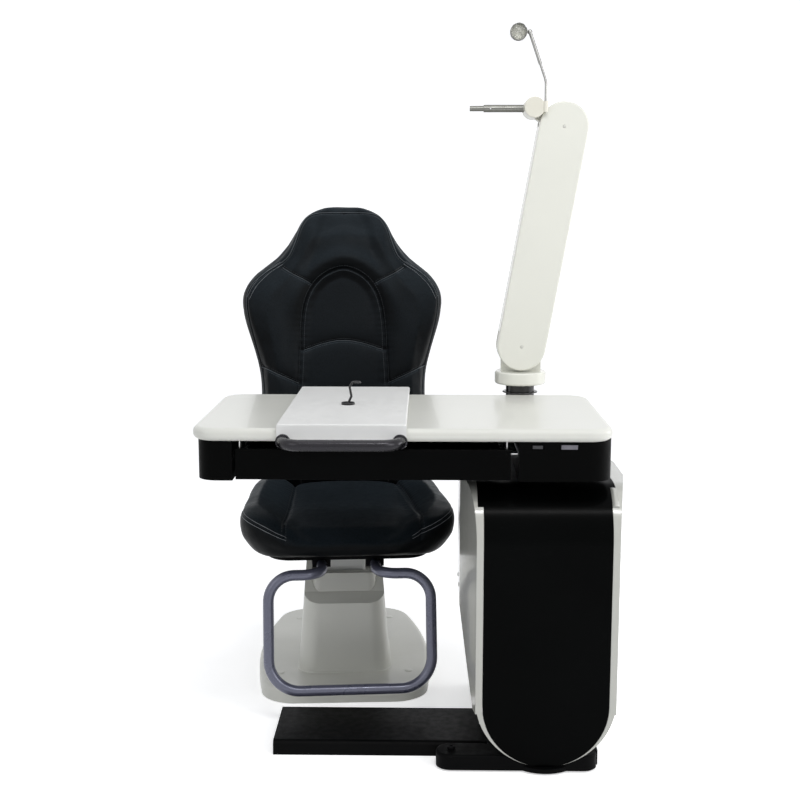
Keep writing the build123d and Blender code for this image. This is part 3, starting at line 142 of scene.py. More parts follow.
coat, given, out = new_group(
    "coat_over_body",
    [("Color", "Color", (0.5, 0.5, 0.5, 1)), ("Mottle", "Float", 0.05), ("Roughness", "Float", 0.4),
     ("Grain", "Float", 900.0), ("Depth", "Float", 0.00005), ("Edge", "Float", 0.0006), ("Wear", "Float", 0.3),
     ("Scuff", "Float", 0.13)])
place = object_place(coat)
soft_edge, on_edge = edge_of(coat, given["Edge"])
scuff = noise_of(coat, place, 60.0, 5.0)
tone = about_one(coat, noise_of(coat, place, 4.0, 3.0), given["Mottle"])
rubbed = sum_of(coat, "MULTIPLY", sum_of(coat, "MULTIPLY", on_edge, spread_of(coat, scuff, 0.3, 1.0)), given["Wear"])
coat.links.new(shaded(coat, given["Color"], sum_of(coat, "ADD", tone, rubbed)), out["Color"])
coat.links.new(sum_of(coat, "MULTIPLY", given["Roughness"], about_one(coat, scuff, given["Scuff"])), out["Roughness"])
coat.links.new(bumped(coat, noise_of(coat, place, given["Grain"], 2.0), given["Depth"], soft_edge), out["Normal"])


def finish(name, group, values, color, **set_once):
    """A material whose colour, roughness and normal come from a group, the rest set on the shader."""
    made = bpy.data.materials.new(name)
    made.use_nodes = True
    made.diffuse_color = (*color, 1)
    tree = made.node_tree
    shader = tree.nodes["Principled BSDF"]
    skin = tree.nodes.new("ShaderNodeGroup")
    skin.node_tree = group
    skin.inputs["Color"].default_value = (*color, 1)
    for label, value in values.items():
        skin.inputs[label].default_value = value
    for label, socket in (("Color", "Base Color"), ("Roughness", "Roughness"), ("Normal", "Normal")):
        tree.links.new(skin.outputs[label], shader.inputs[socket])
    for label, value in set_once.items():
        shader.inputs[label.replace("_", " ")].default_value = value
    return made


def dress(material, *names):
    """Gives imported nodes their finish."""
    for name in names:
        for seat in node[name].material_slots:
            seat.material = material


powder_black = finish(
    "powder_black", coat, {"Mottle": 0.25, "Roughness": 0.52, "Grain": 1500.0, "Depth": 0.00012, "Wear": 3.0},
    (0.0020, 0.0021, 0.0023), Specular_IOR_Level=0.04)
pad_rubber = finish(
    "pad_rubber", coat, {"Mottle": 0.3, "Roughness": 0.78, "Grain": 700.0, "Depth": 0.0001, "Wear": 0.6},
    (0.012, 0.012, 0.013), Specular_IOR_Level=0.2)
dress(powder_black, "base_frame")
dress(pad_rubber, "levelling_feet", "chair_base_feet")

metal, given, out = new_group(
    "worked_metal",
    [("Color", "Color", (0.6, 0.6, 0.6, 1)), ("Roughness", "Float", 0.3), ("Lay", "Vector", (60.0, 60.0, 900.0)),
     ("Depth", "Float", 0.00002), ("Edge", "Float", 0.0004), ("Mottle", "Float", 0.06)])
place = object_place(metal)
soft_edge, on_edge = edge_of(metal, given["Edge"])
drawn = metal.nodes.new("ShaderNodeVectorMath")
drawn.operation = "MULTIPLY"
metal.links.new(place, drawn.inputs[0])
metal.links.new(given["Lay"], drawn.inputs[1])
streak = noise_of(metal, drawn.outputs[0], 1.0, 3.0)
touch = noise_of(metal, place, 28.0, 4.0)
tone = sum_of(metal, "ADD", about_one(metal, streak, given["Mottle"]), sum_of(metal, "MULTIPLY", on_edge, 0.25))
metal.links.new(shaded(metal, given["Color"], tone), out["Color"])
metal.links.new(sum_of(metal, "MULTIPLY", given["Roughness"], spread_of(metal, touch, 0.8, 1.3)), out["Roughness"])
metal.links.new(bumped(metal, streak, given["Depth"], soft_edge), out["Normal"])

zinc_steel = finish(
    "zinc_steel", metal, {"Roughness": 0.34, "Lay": (80.0, 900.0, 80.0), "Depth": 0.00002}, (0.55, 0.55, 0.54),
    Metallic=1.0)


def piece_of(name, mesh, material, body, smooth=True):
    """A finished mesh as a piece that rides on a body."""
    for face in mesh.polygons:
        face.use_smooth = smooth
    made = bpy.data.objects.new(name, mesh)
    made.data.materials.append(material)
    scene.collection.objects.link(made)
    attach(made, body)
    return made


def mesh_of(name, shape):
    """The mesh of a bmesh that is done with."""
    bmesh.ops.recalc_face_normals(shape, faces=shape.faces)
    made = bpy.data.meshes.new(name)
    shape.to_mesh(made)
    shape.free()
    return made


def set_on(outward, at):
    """Turns +Z to an outward direction and moves to a place."""
    return Matrix.Translation(at) @ Vector(outward).to_track_quat("Z", "Y").to_matrix().to_4x4()


def moved_out(shape, raised, way):
    """Moves the points of what an extrusion gave."""
    bmesh.ops.translate(shape, vec=way, verts=[v for v in raised["geom"] if isinstance(v, bmesh.types.BMVert)])


def socket_screws(name, body, spots, radius, height, material):
    """Round screw heads with a hexagon socket, one at each (place, outward) spot."""
    sides = 24
    head = bmesh.new()
    bmesh.ops.create_circle(head, cap_ends=True, segments=sides, radius=radius)
    moved_out(head, bmesh.ops.extrude_face_region(head, geom=list(head.faces)), (0, 0, height * 0.7))
    top = [f for f in head.faces if f.calc_center_median().z > height * 0.6]
    outward = 1 if top[0].normal.z > 0 else -1
    bmesh.ops.inset_region(head, faces=top, thickness=radius * 0.16, depth=height * 0.3 * outward)
    top = [max((f for f in head.faces if len(f.verts) == sides), key=lambda f: f.calc_center_median().z)]
    bmesh.ops.inset_region(head, faces=top, thickness=radius * 0.3)
    rim = max((f for f in head.faces if len(f.verts) == sides), key=lambda f: f.calc_center_median().z - f.calc_area())
    for corner in rim.verts:
        turn = atan2(corner.co.y, corner.co.x) % (pi / 3) - pi / 6
        corner.co.xy = corner.co.xy.normalized() * radius * 0.48 / cos(turn) * cos(pi / 6)
    sunk = bmesh.ops.extrude_discrete_faces(head, faces=[rim])["faces"][0]
    bmesh.ops.translate(head, vec=(0, 0, -height * 0.6), verts=list(sunk.verts))
    one = mesh_of(name + "_one", head)
    whole = bmesh.new()
    for at, outward in spots:
        before = len(whole.verts)
        whole.from_mesh(one)
        whole.verts.ensure_lookup_table()
        bmesh.ops.transform(whole, matrix=set_on(outward, at), verts=whole.verts[before:])
    bpy.data.meshes.remove(one)
    return piece_of(name, mesh_of(name, whole), material, body, smooth=False)


socket_screws("levelling_screw", "base", [((-0.204, -0.2625, 0.038), (0, 0, 1))], 0.009, 0.007, powder_black)

# Foot plate: one folded sheet with a rolled nose, in a slightly smoother black than the frame.
# It lies on the floor to the left and hooks into the frame by a tab.
step_black = finish(
    "step_black", coat, {"Mottle": 0.3, "Roughness": 0.46, "Grain": 1100.0, "Depth": 0.0001, "Edge": 0.001,
    "Wear": 4.0}, (0.0016, 0.0017, 0.0018), Specular_IOR_Level=0.05)
dress(step_black, "foot_plate")

# Lift column: extruded square tubes, the inner one ground bright where it slides in nylon glides.
# The spindle turns in the actuator's tube, and a box with the supply hangs behind the column.
ground_steel = finish(
    "ground_steel", metal, {"Roughness": 0.26, "Lay": (900.0, 900.0, 12.0), "Depth": 0.00001}, (0.50, 0.50, 0.50),
    Metallic=1.0)
nylon = finish("nylon", coat, {"Mottle": 0.06, "Roughness": 0.45, "Depth": 0.00002}, (0.62, 0.61, 0.57))
cast_grey = finish(
    "cast_grey", coat, {"Mottle": 0.12, "Roughness": 0.55, "Grain": 700.0, "Depth": 0.00015, "Wear": 0.6},
    (0.16, 0.165, 0.17))
dress(ground_steel, "lift_column_ram", "lift_spindle", "chair_ram")
dress(powder_black, "lift_column_outer", "table_frame", "post_clamp", "chair_column", "chair_base_plate")
dress(nylon, "column_glides", "tray_glides")
dress(cast_grey, "lift_actuator", "power_unit")

# Cabinet: a folded liner sprayed like the covers, darkened to grey as painted shade, bent front and rear sheets in
# satin black, and a lid.
# The rear sheet is screwed on at six places, with the mains inlet low down and vents above it.
satin_black = finish(
    "satin_black", coat, {"Mottle": 0.3, "Roughness": 0.36, "Grain": 1800.0, "Depth": 0.00005, "Edge": 0.001,
    "Wear": 3.0}, (0.0008, 0.0010, 0.0010), Specular_IOR_Level=0.01, Coat_Weight=0.035, Coat_Roughness=0.2)
# The liner takes the covers' white darkened to grey: painted shade.
shaded_liner_pearl = finish(
    "shaded_liner_pearl", coat, {"Mottle": 0.02, "Roughness": 0.34, "Grain": 900.0, "Depth": 0.00002, "Wear": 0.05},
    (0.45, 0.45, 0.415))
dress(shaded_liner_pearl, "cabinet_liner")
dress(satin_black, "cabinet_front_panel", "cabinet_rear_panel", "cabinet_top_cap")
rear_face = 0.22
socket_screws("rear_panel_screws", "base",
              [((x, rear_face, z), (0, 1, 0)) for x in (-0.117, 0.117) for z in (0.16, 0.34, 0.5)],
              0.0055, 0.0028, zinc_steel)


def block_of(shape, size, at, edge, segments=2):
    """A block added to a bmesh, its edges softened; gives the points of a plain one."""
    made = bmesh.ops.create_cube(shape, size=1.0)["verts"]
    bmesh.ops.scale(shape, vec=size, verts=made)
    bmesh.ops.translate(shape, vec=at, verts=made)
    if edge:
        edges = list({e for v in made for e in v.link_edges})
        bmesh.ops.bevel(shape, geom=edges, offset=edge, segments=segments, profile=0.5, affect="EDGES", material=-1)
    return made


vents = bmesh.new()
for row in range(7):
    block_of(vents, (0.11, 0.003, 0.0045), (0, rear_face + 0.0014, 0.40 + row * 0.013), 0.0012)
piece_of("rear_vents", mesh_of("rear_vents", vents), satin_black, "base")
inlet, inlet_z = bmesh.new(), 0.135
block_of(inlet, (0.058, 0.004, 0.052), (0, rear_face + 0.0018, inlet_z), 0.0015)
shell = block_of(inlet, (0.028, 0.006, 0.02), (-0.008, rear_face + 0.0055, inlet_z), 0.0)
mouth = [f for f in {f for v in shell for f in v.link_faces} if f.calc_center_median().y > rear_face + 0.008]
bmesh.ops.inset_region(inlet, faces=mouth, thickness=0.0022)
bmesh.ops.translate(inlet, vec=(0, -0.0045, 0), verts=list(mouth[0].verts))
for x, z in ((-0.015, -0.003), (-0.001, -0.003), (-0.008, 0.004)):
    block_of(inlet, (0.0018, 0.003, 0.0045), (x, rear_face + 0.0058, inlet_z + z), 0.0)
block_of(inlet, (0.012, 0.0055, 0.02), (0.0175, rear_face + 0.0056, inlet_z), 0.0015)
piece_of("mains_inlet", mesh_of("mains_inlet", inlet), pad_rubber, "base", smooth=False)

# Side covers: vacuum-formed shells of pearl white gloss sheet, trimmed on a slant at the bottom.
# Two push fasteners hold each of them to the liner, low down where the side starts to swell.
# The right one's rim goes on over the bend of the front and rear panels.
# The covers' white is darkened to a light grey: painted shade from the board above them. The push fasteners and the
# right rim strip share it.
shaded_pearl_white = finish(
    "shaded_pearl_white", coat, {"Mottle": 0.015, "Roughness": 0.2, "Grain": 120.0, "Depth": 0.00003, "Edge": 0.002,
    "Wear": 0.02}, (0.47, 0.47, 0.43), Coat_Weight=0.5, Coat_Roughness=0.06)
dress(shaded_pearl_white, "cabinet_side_cover_left", "cabinet_side_cover_right")
socket_screws("cover_fasteners", "base",
              [((way * 0.1842, y, 0.36), (way, 0, 0)) for way in (-1, 1) for y in (-0.08, 0.0)],
              0.0045, 0.0014, shaded_pearl_white)

rim_strip = bmesh.new()
bend_y, bend_z, bend_radius, cabinet_mid = -0.185, 0.513, 0.1156, -0.04
rim_inside, rim_width = 0.1384, 0.0144
bend = [(bend_y - bend_radius * cos(a), bend_z + bend_radius * sin(a))
        for a in map(radians, range(42, 73, 3))]
for way in (-1, 1):
    row = [rim_strip.verts.new((rim_inside, cabinet_mid - way * (y - cabinet_mid), z)) for y, z in bend]
    edges = [rim_strip.edges.new(pair) for pair in zip(row, row[1:])]
    moved_out(rim_strip, bmesh.ops.extrude_edge_only(rim_strip, edges=edges), (rim_width, 0, 0))
bmesh.ops.recalc_face_normals(rim_strip, faces=rim_strip.faces)
bmesh.ops.solidify(rim_strip, geom=rim_strip.faces, thickness=0.0008)
piece_of("cover_rim_right", mesh_of("cover_rim_right", rim_strip), shaded_pearl_white, "base")

# Tabletop: cast white board, polished on top, its edge a full round.
# Clear lacquer over it gives back the arm and the white of the room.
cast_white = finish(
    "cast_white", coat, {"Mottle": 0.012, "Roughness": 0.3, "Grain": 60.0, "Depth": 0.000001, "Edge": 0.001,
    "Wear": 0.0, "Scuff": 0.01}, (0.69, 0.69, 0.64), Specular_IOR_Level=0.25, Coat_Weight=0.2, Coat_Roughness=0.04,
    Coat_IOR=1.3)
dress(cast_white, "tabletop")

# Aprons and drawer: injection-moulded black shells with a fine grain on them.
# The drawer is a folded steel box on slides, and a bright flange shows in the gap beside it.
moulded_black = finish(
    "moulded_black", coat, {"Mottle": 0.25, "Roughness": 0.42, "Grain": 1300.0, "Depth": 0.00007, "Edge": 0.0012,
    "Wear": 3.0}, (0.0010, 0.0011, 0.0011), Specular_IOR_Level=0.03)
dress(moulded_black, "apron_left", "apron_right", "drawer_front")
dress(powder_black, "drawer_box")
bright_flange = finish(
    "bright_flange", metal, {"Roughness": 0.3, "Lay": (700.0, 30.0, 700.0), "Depth": 0.00003}, (0.66, 0.66, 0.65),
    Metallic=1.0)
dress(bright_flange, "drawer_runners", "drawer_slide_bars")
socket_screws("drawer_front_screws", "drawer",
              [((x, -0.2775, 0.687), (0, 1, 0)) for x in (-0.60, -0.5, -0.22, -0.13)],
              0.004, 0.0024, zinc_steel)

# Instrument tray: a folded aluminium saddle, sprayed white, that runs on nylon glides.
# Its handle is a bent tube in black chrome, let into two rosettes on the hanging flange.
tray_white = finish(
    "tray_white", coat, {"Mottle": 0.012, "Roughness": 0.4, "Grain": 90.0, "Depth": 0.00001, "Edge": 0.001,
    "Wear": 0.0}, (0.77, 0.77, 0.755), Specular_IOR_Level=0.25)
dress(tray_white, "instrument_tray")
black_chrome = finish(
    "black_chrome", metal, {"Roughness": 0.27, "Lay": (20.0, 500.0, 500.0), "Depth": 0.00002, "Mottle": 0.1},
    (0.02, 0.019, 0.023), Metallic=0.7, Coat_Weight=0.12, Coat_Roughness=0.12)
dress(black_chrome, "tray_handle")


def turned(name, outline, at, axis, material, body, segments=32):
    """A turned piece: (radius, height) points spun round an axis through a place."""
    shape = bmesh.new()
    row = [shape.verts.new((radius, 0, height)) for radius, height in outline]
    edges = [shape.edges.new(pair) for pair in zip(row, row[1:])]
    bmesh.ops.spin(shape, geom=row + edges, cent=(0, 0, 0), axis=(0, 0, 1), angle=2 * pi, steps=segments,
                   use_merge=True)
    bmesh.ops.remove_doubles(shape, verts=shape.verts, dist=1e-6)
    bmesh.ops.transform(shape, matrix=set_on(axis, at), verts=shape.verts)
    return piece_of(name, mesh_of(name, shape), material, body)


flange_y, grip_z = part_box("instrument_tray")[0][1], 0.738
for label, x in (("left", -0.5635), ("right", -0.3165)):
    turned("handle_rosette_" + label, [(0.0126, 0.0022), (0.0146, 0.002), (0.0158, 0.0012), (0.016, 0.0)],
           (x, flange_y, grip_z), (0, -1, 0), black_chrome, "tray")

# Lead guide: a black steel foot on the tray with a kinked wire and an open eye.
# The foot is pressed sheet over a rubber disc, held by one nut on the wire.
wire_black = finish(
    "wire_black", coat, {"Mottle": 0.2, "Roughness": 0.3, "Grain": 900.0, "Depth": 0.00003, "Wear": 2.0},
    (0.008, 0.008, 0.009), Specular_IOR_Level=0.45)
dress(wire_black, "cable_guide")

# Switches: a rocker for the lift in grey plastic and a small push button for the lamp.
# Both sit in black bezels that snap into the right apron under the board.
cap_grey = finish(
    "cap_grey", coat, {"Mottle": 0.05, "Roughness": 0.38, "Grain": 1500.0, "Depth": 0.00003, "Wear": 0.4},
    (0.14, 0.135, 0.155))
button_dark = finish(
    "button_dark", coat, {"Mottle": 0.1, "Roughness": 0.34, "Depth": 0.00003, "Wear": 1.0}, (0.02, 0.02, 0.023))
dress(cap_grey, "lift_rocker")
dress(button_dark, "lamp_button")
dress(moulded_black, "switch_bodies")
ribs, rocker_mid = bmesh.new(), Vector((0.041, -0.2922, 0.725))
for side in (-1, 1):
    for step in range(3):
        block_of(ribs, (0.0011, 0.0008, 0.0062), rocker_mid + Vector((side * (0.009 + step * 0.0026), 0, 0)), 0.0003, 1)
piece_of("rocker_ribs", mesh_of("rocker_ribs", ribs), cap_grey, "rocker", smooth=False)

# Instrument post: black anodised tube through the board, turned fine and polished.
# A washer in the same finish closes the hole round it.
anodised = finish(
    "anodised", metal, {"Roughness": 0.22, "Lay": (40.0, 40.0, 1400.0), "Depth": 0.00002, "Mottle": 0.15},
    (0.02, 0.02, 0.02), Metallic=0.6, Coat_Weight=0.3, Coat_Roughness=0.1)
dress(anodised, "instrument_post")
post_x, post_y, board_top = -0.024, 0.25, 0.764
turned("post_washer",
       [(0.0361, 0.0), (0.0361, 0.0022), (0.0368, 0.0028), (0.043, 0.0028), (0.0442, 0.0016), (0.0445, 0.0)],
       (post_x, post_y, board_top), (0, 0, 1), anodised, "table", 64)

# Arm collar: a white moulding over a cast core, with a flat neck that the arm tilts on.
# A grub screw at its back sets how hard it turns.
gloss_white = finish(
    "gloss_white", coat, {"Mottle": 0.012, "Roughness": 0.22, "Grain": 140.0, "Depth": 0.00001, "Edge": 0.0015,
    "Wear": 0.0}, (0.76, 0.76, 0.69), Coat_Weight=0.4, Coat_Roughness=0.07)
dress(gloss_white, "arm_collar")
socket_screws("collar_grub_screw", "collar", [((post_x, 0.3145, 0.803), (0, 1, 0))], 0.004, 0.0012, zinc_steel)

# Parallel arm: two cheeks and a spacer of sprayed steel, pinned below and above, and the level link.
# Two white covers close on it, with small caps over the pivots in front and screws at the back.
dress(cast_grey, "arm_beam", "level_link")
dress(ground_steel, "arm_pins")
arm_white = finish(
    "arm_white", coat, {"Mottle": 0.012, "Roughness": 0.24, "Grain": 160.0, "Depth": 0.00001, "Edge": 0.0015,
    "Wear": 0.0}, (0.75, 0.75, 0.68), Coat_Weight=0.4, Coat_Roughness=0.08)
dress(arm_white, "arm_cover_front", "arm_cover_rear")
cap_white = finish("cap_white", coat, {"Mottle": 0.02, "Roughness": 0.4, "Depth": 0.00001}, (0.62, 0.62, 0.57))
arm_turn = Matrix.Translation((post_x, post_y, 0.882)) @ Matrix.Rotation(radians(10.1), 4, "Y")
arm_half, arm_length = 0.038, 0.5455
for label, up in (("low", 0.0), ("high", arm_length)):
    turned("pivot_cap_" + label,
           [(0.0, 0.00045), (0.002, 0.0004), (0.0033, 0.0001), (0.0037, -0.0004), (0.0037, -0.001)],
           arm_turn @ Vector((0, -arm_half, up)), (0, -1, 0), cap_white, "arm", 20)
socket_screws("arm_cover_screws", "arm",
              [(arm_turn @ Vector((0, arm_half, up)), (0, 1, 0)) for up in (0.14, 0.41, -0.035, 0.58)],
              0.0042, 0.0016, zinc_steel)

# Head: an aluminium casting sprayed cream, a boss that clamps the rod, and its fluted knob.
# The rod is ground steel with a turned-down tip and a cross hole.
cream = finish(
    "cream_coat", coat, {"Mottle": 0.02, "Roughness": 0.32, "Grain": 500.0, "Depth": 0.00004, "Edge": 0.001,
    "Wear": 0.05}, (0.71, 0.69, 0.60), Coat_Weight=0.25, Coat_Roughness=0.12)
dress(cream, "head_block")
rod_grey = finish(
    "rod_grey", metal, {"Roughness": 0.33, "Lay": (1500.0, 60.0, 60.0), "Depth": 0.00002, "Mottle": 0.12},
    (0.20, 0.20, 0.185), Metallic=1.0, Specular_Tint=(0.12, 0.12, 0.115, 1))
dress(rod_grey, "instrument_rod")
knob_grey = finish(
    "knob_grey", coat, {"Mottle": 0.06, "Roughness": 0.36, "Grain": 1100.0, "Depth": 0.00005, "Wear": 0.3},
    (0.26, 0.26, 0.235))
dress(knob_grey, "clamp_knob")

# Lamp: a thin chromed stalk with a sleeve and a ball, and a round head with a notched rim.
# Behind the ribbed lens lies a bright dish.
chrome = finish(
    "chrome", metal, {"Roughness": 0.2, "Lay": (100.0, 100.0, 100.0), "Depth": 0.000004, "Mottle": 0.03},
    (0.34, 0.34, 0.33), Metallic=1.0, Specular_Tint=(0.12, 0.12, 0.115, 1))
dress(chrome, "lamp_stalk")
lamp_steel = finish(
    "lamp_steel", metal, {"Roughness": 0.24, "Lay": (300.0, 300.0, 300.0), "Depth": 0.00001, "Mottle": 0.08},
    (0.27, 0.27, 0.255), Metallic=1.0, Specular_Tint=(0.12, 0.12, 0.115, 1))
dress(lamp_steel, "lamp_head")
lens_glass = bpy.data.materials.new("lens_glass")
lens_glass.use_nodes = True
lens = lens_glass.node_tree
glass = lens.nodes["Principled BSDF"]
for label, value in (("Base Color", (0.72, 0.72, 0.66, 1)), ("Transmission Weight", 0.75), ("Roughness", 0.18),
                     ("IOR", 1.49)):
    glass.inputs[label].default_value = value
lens_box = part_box("lamp_lens")
lens_mid = [(low + high) / 2 for low, high in zip(*lens_box)]
centred = lens.nodes.new("ShaderNodeMapping")
centred.inputs["Location"].default_value = [-c for c in lens_mid]
lens.links.new(object_place(lens), centred.inputs["Vector"])
waves = lens.nodes.new("ShaderNodeTexWave")
waves.wave_type, waves.rings_direction = "RINGS", "Y"
waves.inputs["Scale"].default_value = 110.0
lens.links.new(centred.outputs[0], waves.inputs["Vector"])
ribbing = lens.nodes.new("ShaderNodeBump")
ribbing.inputs["Distance"].default_value = 0.0003
lens.links.new(waves.outputs["Fac"], ribbing.inputs["Height"])
lens.links.new(ribbing.outputs[0], glass.inputs["Normal"])
dress(lens_glass, "lamp_lens")
turned("lamp_dish", [(0.0, 0.0), (0.004, 0.0002), (0.010, 0.001), (0.0172, 0.0026), (0.0178, 0.0028), (0.0178, 0.0)],
       (lens_mid[0], lens_box[1][1] + 0.0029, lens_mid[2]), (0, -1, 0), bright_flange, "lamp", 40)

# Chair base: a steel plate under a moulded cover with a deep rounded edge.
# Four plugs close the holes for the floor bolts, and a bead runs round the pedestal's foot.
# The chair is turned a little to the table.
chair_turn = Matrix.Translation((-0.477, 0.320, 0)) @ Matrix.Rotation(radians(3.7), 4, "Z")
shell_grey = finish(
    "shell_grey", coat, {"Mottle": 0.03, "Roughness": 0.38, "Grain": 900.0, "Depth": 0.00006, "Edge": 0.0015,
    "Wear": 0.08}, (0.66, 0.66, 0.605), Coat_Weight=0.1, Coat_Roughness=0.2)
dress(shell_grey, "chair_base_cover", "pedestal_outer_cover")
for number, (x, y) in enumerate(((-0.165, -0.13), (0.165, -0.13), (-0.13, 0.3), (0.13, 0.3))):
    turned("bolt_plug_%d" % number, [(0.0, 0.0016), (0.006, 0.0014), (0.0098, 0.0008), (0.0108, 0.0)],
           chair_turn @ Vector((x, y, 0.042)), (0, 0, 1), shell_grey, "base", 28)


def tube_along(name, points, radius, closed, sides=3):
    """A round tube along points, as a mesh."""
    line = bpy.data.curves.new(name + "_line", "CURVE")
    line.dimensions, line.bevel_depth, line.bevel_resolution = "3D", radius, sides
    run = line.splines.new("POLY")
    run.points.add(len(points) - 1)
    for point, at in zip(run.points, points):
        point.co = (*at, 1)
    run.use_cyclic_u = closed
    carrier = bpy.data.objects.new(name + "_line", line)
    scene.collection.objects.link(carrier)
    made = bpy.data.meshes.new_from_object(carrier)
    bpy.data.objects.remove(carrier)
    made.name = name
    return made


foot_x, foot_y, foot_corner, cover_top = 0.074, 0.092, 0.0455, 0.0425
foot_line = []
for right, rear, start in ((1, 1, 0), (-1, 1, 90), (-1, -1, 180), (1, -1, 270)):
    for step in range(9):
        angle = radians(start + step * 11.25)
        foot_line.append(chair_turn @ Vector((right * foot_x + foot_corner * cos(angle),
                                              rear * foot_y + foot_corner * sin(angle), cover_top)))
piece_of("pedestal_foot_bead", tube_along("pedestal_foot_bead", foot_line, 0.0028, True), shell_grey, "base")

# Pedestal: sleeves that telescope over the lift column, the outer one with a hood behind.
# The sleeves are a little lighter inside, and the mount plate on top is sprayed steel.
sleeve_grey = finish(
    "sleeve_grey", coat, {"Mottle": 0.03, "Roughness": 0.34, "Grain": 1100.0, "Depth": 0.00005, "Edge": 0.0015,
    "Wear": 0.08}, (0.55, 0.55, 0.505), Coat_Weight=0.1, Coat_Roughness=0.18)
dress(sleeve_grey, "pedestal_middle_cover")
inner_grey = finish(
    "inner_grey", coat, {"Mottle": 0.03, "Roughness": 0.34, "Grain": 1100.0, "Depth": 0.00005, "Edge": 0.0012,
    "Wear": 0.08}, (0.60, 0.605, 0.58))
dress(inner_grey, "pedestal_inner_cover")
dress(powder_black, "seat_mount", "seat_pan", "back_struts")

# Foot ring: bent steel tube in a blue-grey hammer paint, clamped under the seat pan.
# The paint pulls into small dimples as it dries.
hammer, given, out = new_group(
    "hammer_paint",
    [("Color", "Color", (0.1, 0.1, 0.16, 1)), ("Dimple", "Float", 260.0), ("Depth", "Float", 0.0001),
     ("Roughness", "Float", 0.3)])
place = object_place(hammer)
cells = hammer.nodes.new("ShaderNodeTexVoronoi")
cells.feature = "SMOOTH_F1"
hammer.links.new(place, cells.inputs["Vector"])
hammer.links.new(given["Dimple"], cells.inputs["Scale"])
dimple = cells.outputs["Distance"]
flow = spread_of(hammer, noise_of(hammer, place, 30.0, 4.0), 0.85, 1.2)
hammer.links.new(shaded(hammer, given["Color"], spread_of(hammer, dimple, 1.03, 0.95)), out["Color"])
hammer.links.new(sum_of(hammer, "MULTIPLY", given["Roughness"], flow), out["Roughness"])
hammer.links.new(bumped(hammer, dimple, given["Depth"], facing_of(hammer)), out["Normal"])
ring_paint = finish(
    "ring_paint", hammer, {"Depth": 0.00004}, (0.115, 0.12, 0.17), Metallic=0.35, Coat_Weight=0.35,
    Coat_Roughness=0.15)
dress(ring_paint, "footrest_ring")
dress(powder_black, "footrest_clamps")

# Seat: a moulded foam block under a sewn cover of soft black hide, bolsters at the sides.
# Two channels run front to rear, and white double stitching closes the front corners.
hide, given, out = new_group(
    "soft_hide",
    [("Color", "Color", (0.01, 0.01, 0.01, 1)), ("Pebble", "Float", 420.0), ("Depth", "Float", 0.0002),
     ("Roughness", "Float", 0.5)])
place = object_place(hide)
drift = hide.nodes.new("ShaderNodeVectorMath")
drift.operation = "MULTIPLY_ADD"
hide.links.new(noise_of(hide, place, 160.0, 2.0, "Color"), drift.inputs[0])
drift.inputs[1].default_value = (0.003, 0.003, 0.003)
hide.links.new(place, drift.inputs[2])
pebbles = hide.nodes.new("ShaderNodeTexVoronoi")
pebbles.feature = "SMOOTH_F1"
pebbles.inputs["Smoothness"].default_value = 0.4
hide.links.new(drift.outputs[0], pebbles.inputs["Vector"])
hide.links.new(given["Pebble"], pebbles.inputs["Scale"])
crease = noise_of(hide, place, 38.0, 6.0)
height = sum_of(hide, "ADD", sum_of(hide, "MULTIPLY", pebbles.outputs["Distance"], -1.0),
                sum_of(hide, "MULTIPLY", crease, 1.6))
flat = facing_of(hide)
hide.links.new(bumped(hide, height, given["Depth"], flat), out["Normal"])
# Hide that faces up is painted much lighter, and hide that faces sideways or down darker: painted light from above and
# painted shade.
lie = hide.nodes.new("ShaderNodeSeparateXYZ")
hide.links.new(flat, lie.inputs[0])
painted_top_light = spread_of(hide, lie.outputs["Z"], 0.35, 3.3, 0.0, 0.9)
cloudy_and_top_lit = sum_of(hide, "MULTIPLY", spread_of(hide, noise_of(hide, place, 7.0, 3.0), 0.9, 1.1), painted_top_light)
tone = sum_of(hide, "MULTIPLY", cloudy_and_top_lit, spread_of(hide, pebbles.outputs["Distance"], 1.12, 0.72))
hide.links.new(shaded(hide, given["Color"], tone), out["Color"])
hide.links.new(sum_of(hide, "MULTIPLY", given["Roughness"], spread_of(hide, crease, 0.86, 1.12)), out["Roughness"])
black_hide = finish(
    "black_hide", hide, {"Pebble": 480.0, "Depth": 0.00022, "Roughness": 0.46}, (0.0048, 0.0067, 0.0084),
    Specular_IOR_Level=0.06, Sheen_Weight=0.012, Sheen_Roughness=0.4)
# The piping is real, but its hide is painted several times lighter than the cover: painted highlight along the seams.
highlit_seam_hide = finish(
    "highlit_seam_hide", hide, {"Pebble": 600.0, "Depth": 0.0001, "Roughness": 0.4}, (0.035, 0.042, 0.048),
    Specular_IOR_Level=0.3)
thread, given, out = new_group(
    "twisted_thread",
    [("Color", "Color", (0.6, 0.6, 0.6, 1)), ("Roughness", "Float", 0.7), ("Ply", "Float", 2600.0),
     ("Depth", "Float", 0.00015)])
ply = noise_of(thread, object_place(thread), given["Ply"], 1.0)
thread.links.new(shaded(thread, given["Color"], spread_of(thread, ply, 0.8, 1.15)), out["Color"])
thread.links.new(given["Roughness"], out["Roughness"])
thread.links.new(bumped(thread, ply, given["Depth"], facing_of(thread)), out["Normal"])
white_thread = finish("white_thread", thread, {}, (0.26, 0.275, 0.29))
dark_thread = finish("dark_thread", thread, {}, (0.045, 0.052, 0.058))


def evened(move, ends):
    """Each point's move drawn toward those of its neighbours, so that the cover has no loose folds."""
    shared = np.bincount(ends.ravel())
    for turn in range(24):
        for axis in range(3):
            near = sum(np.bincount(one, move[other, axis], len(move)) for one, other in (ends, ends[::-1]))
            move[:, axis] = (move[:, axis] + near / shared) / 2
    return move


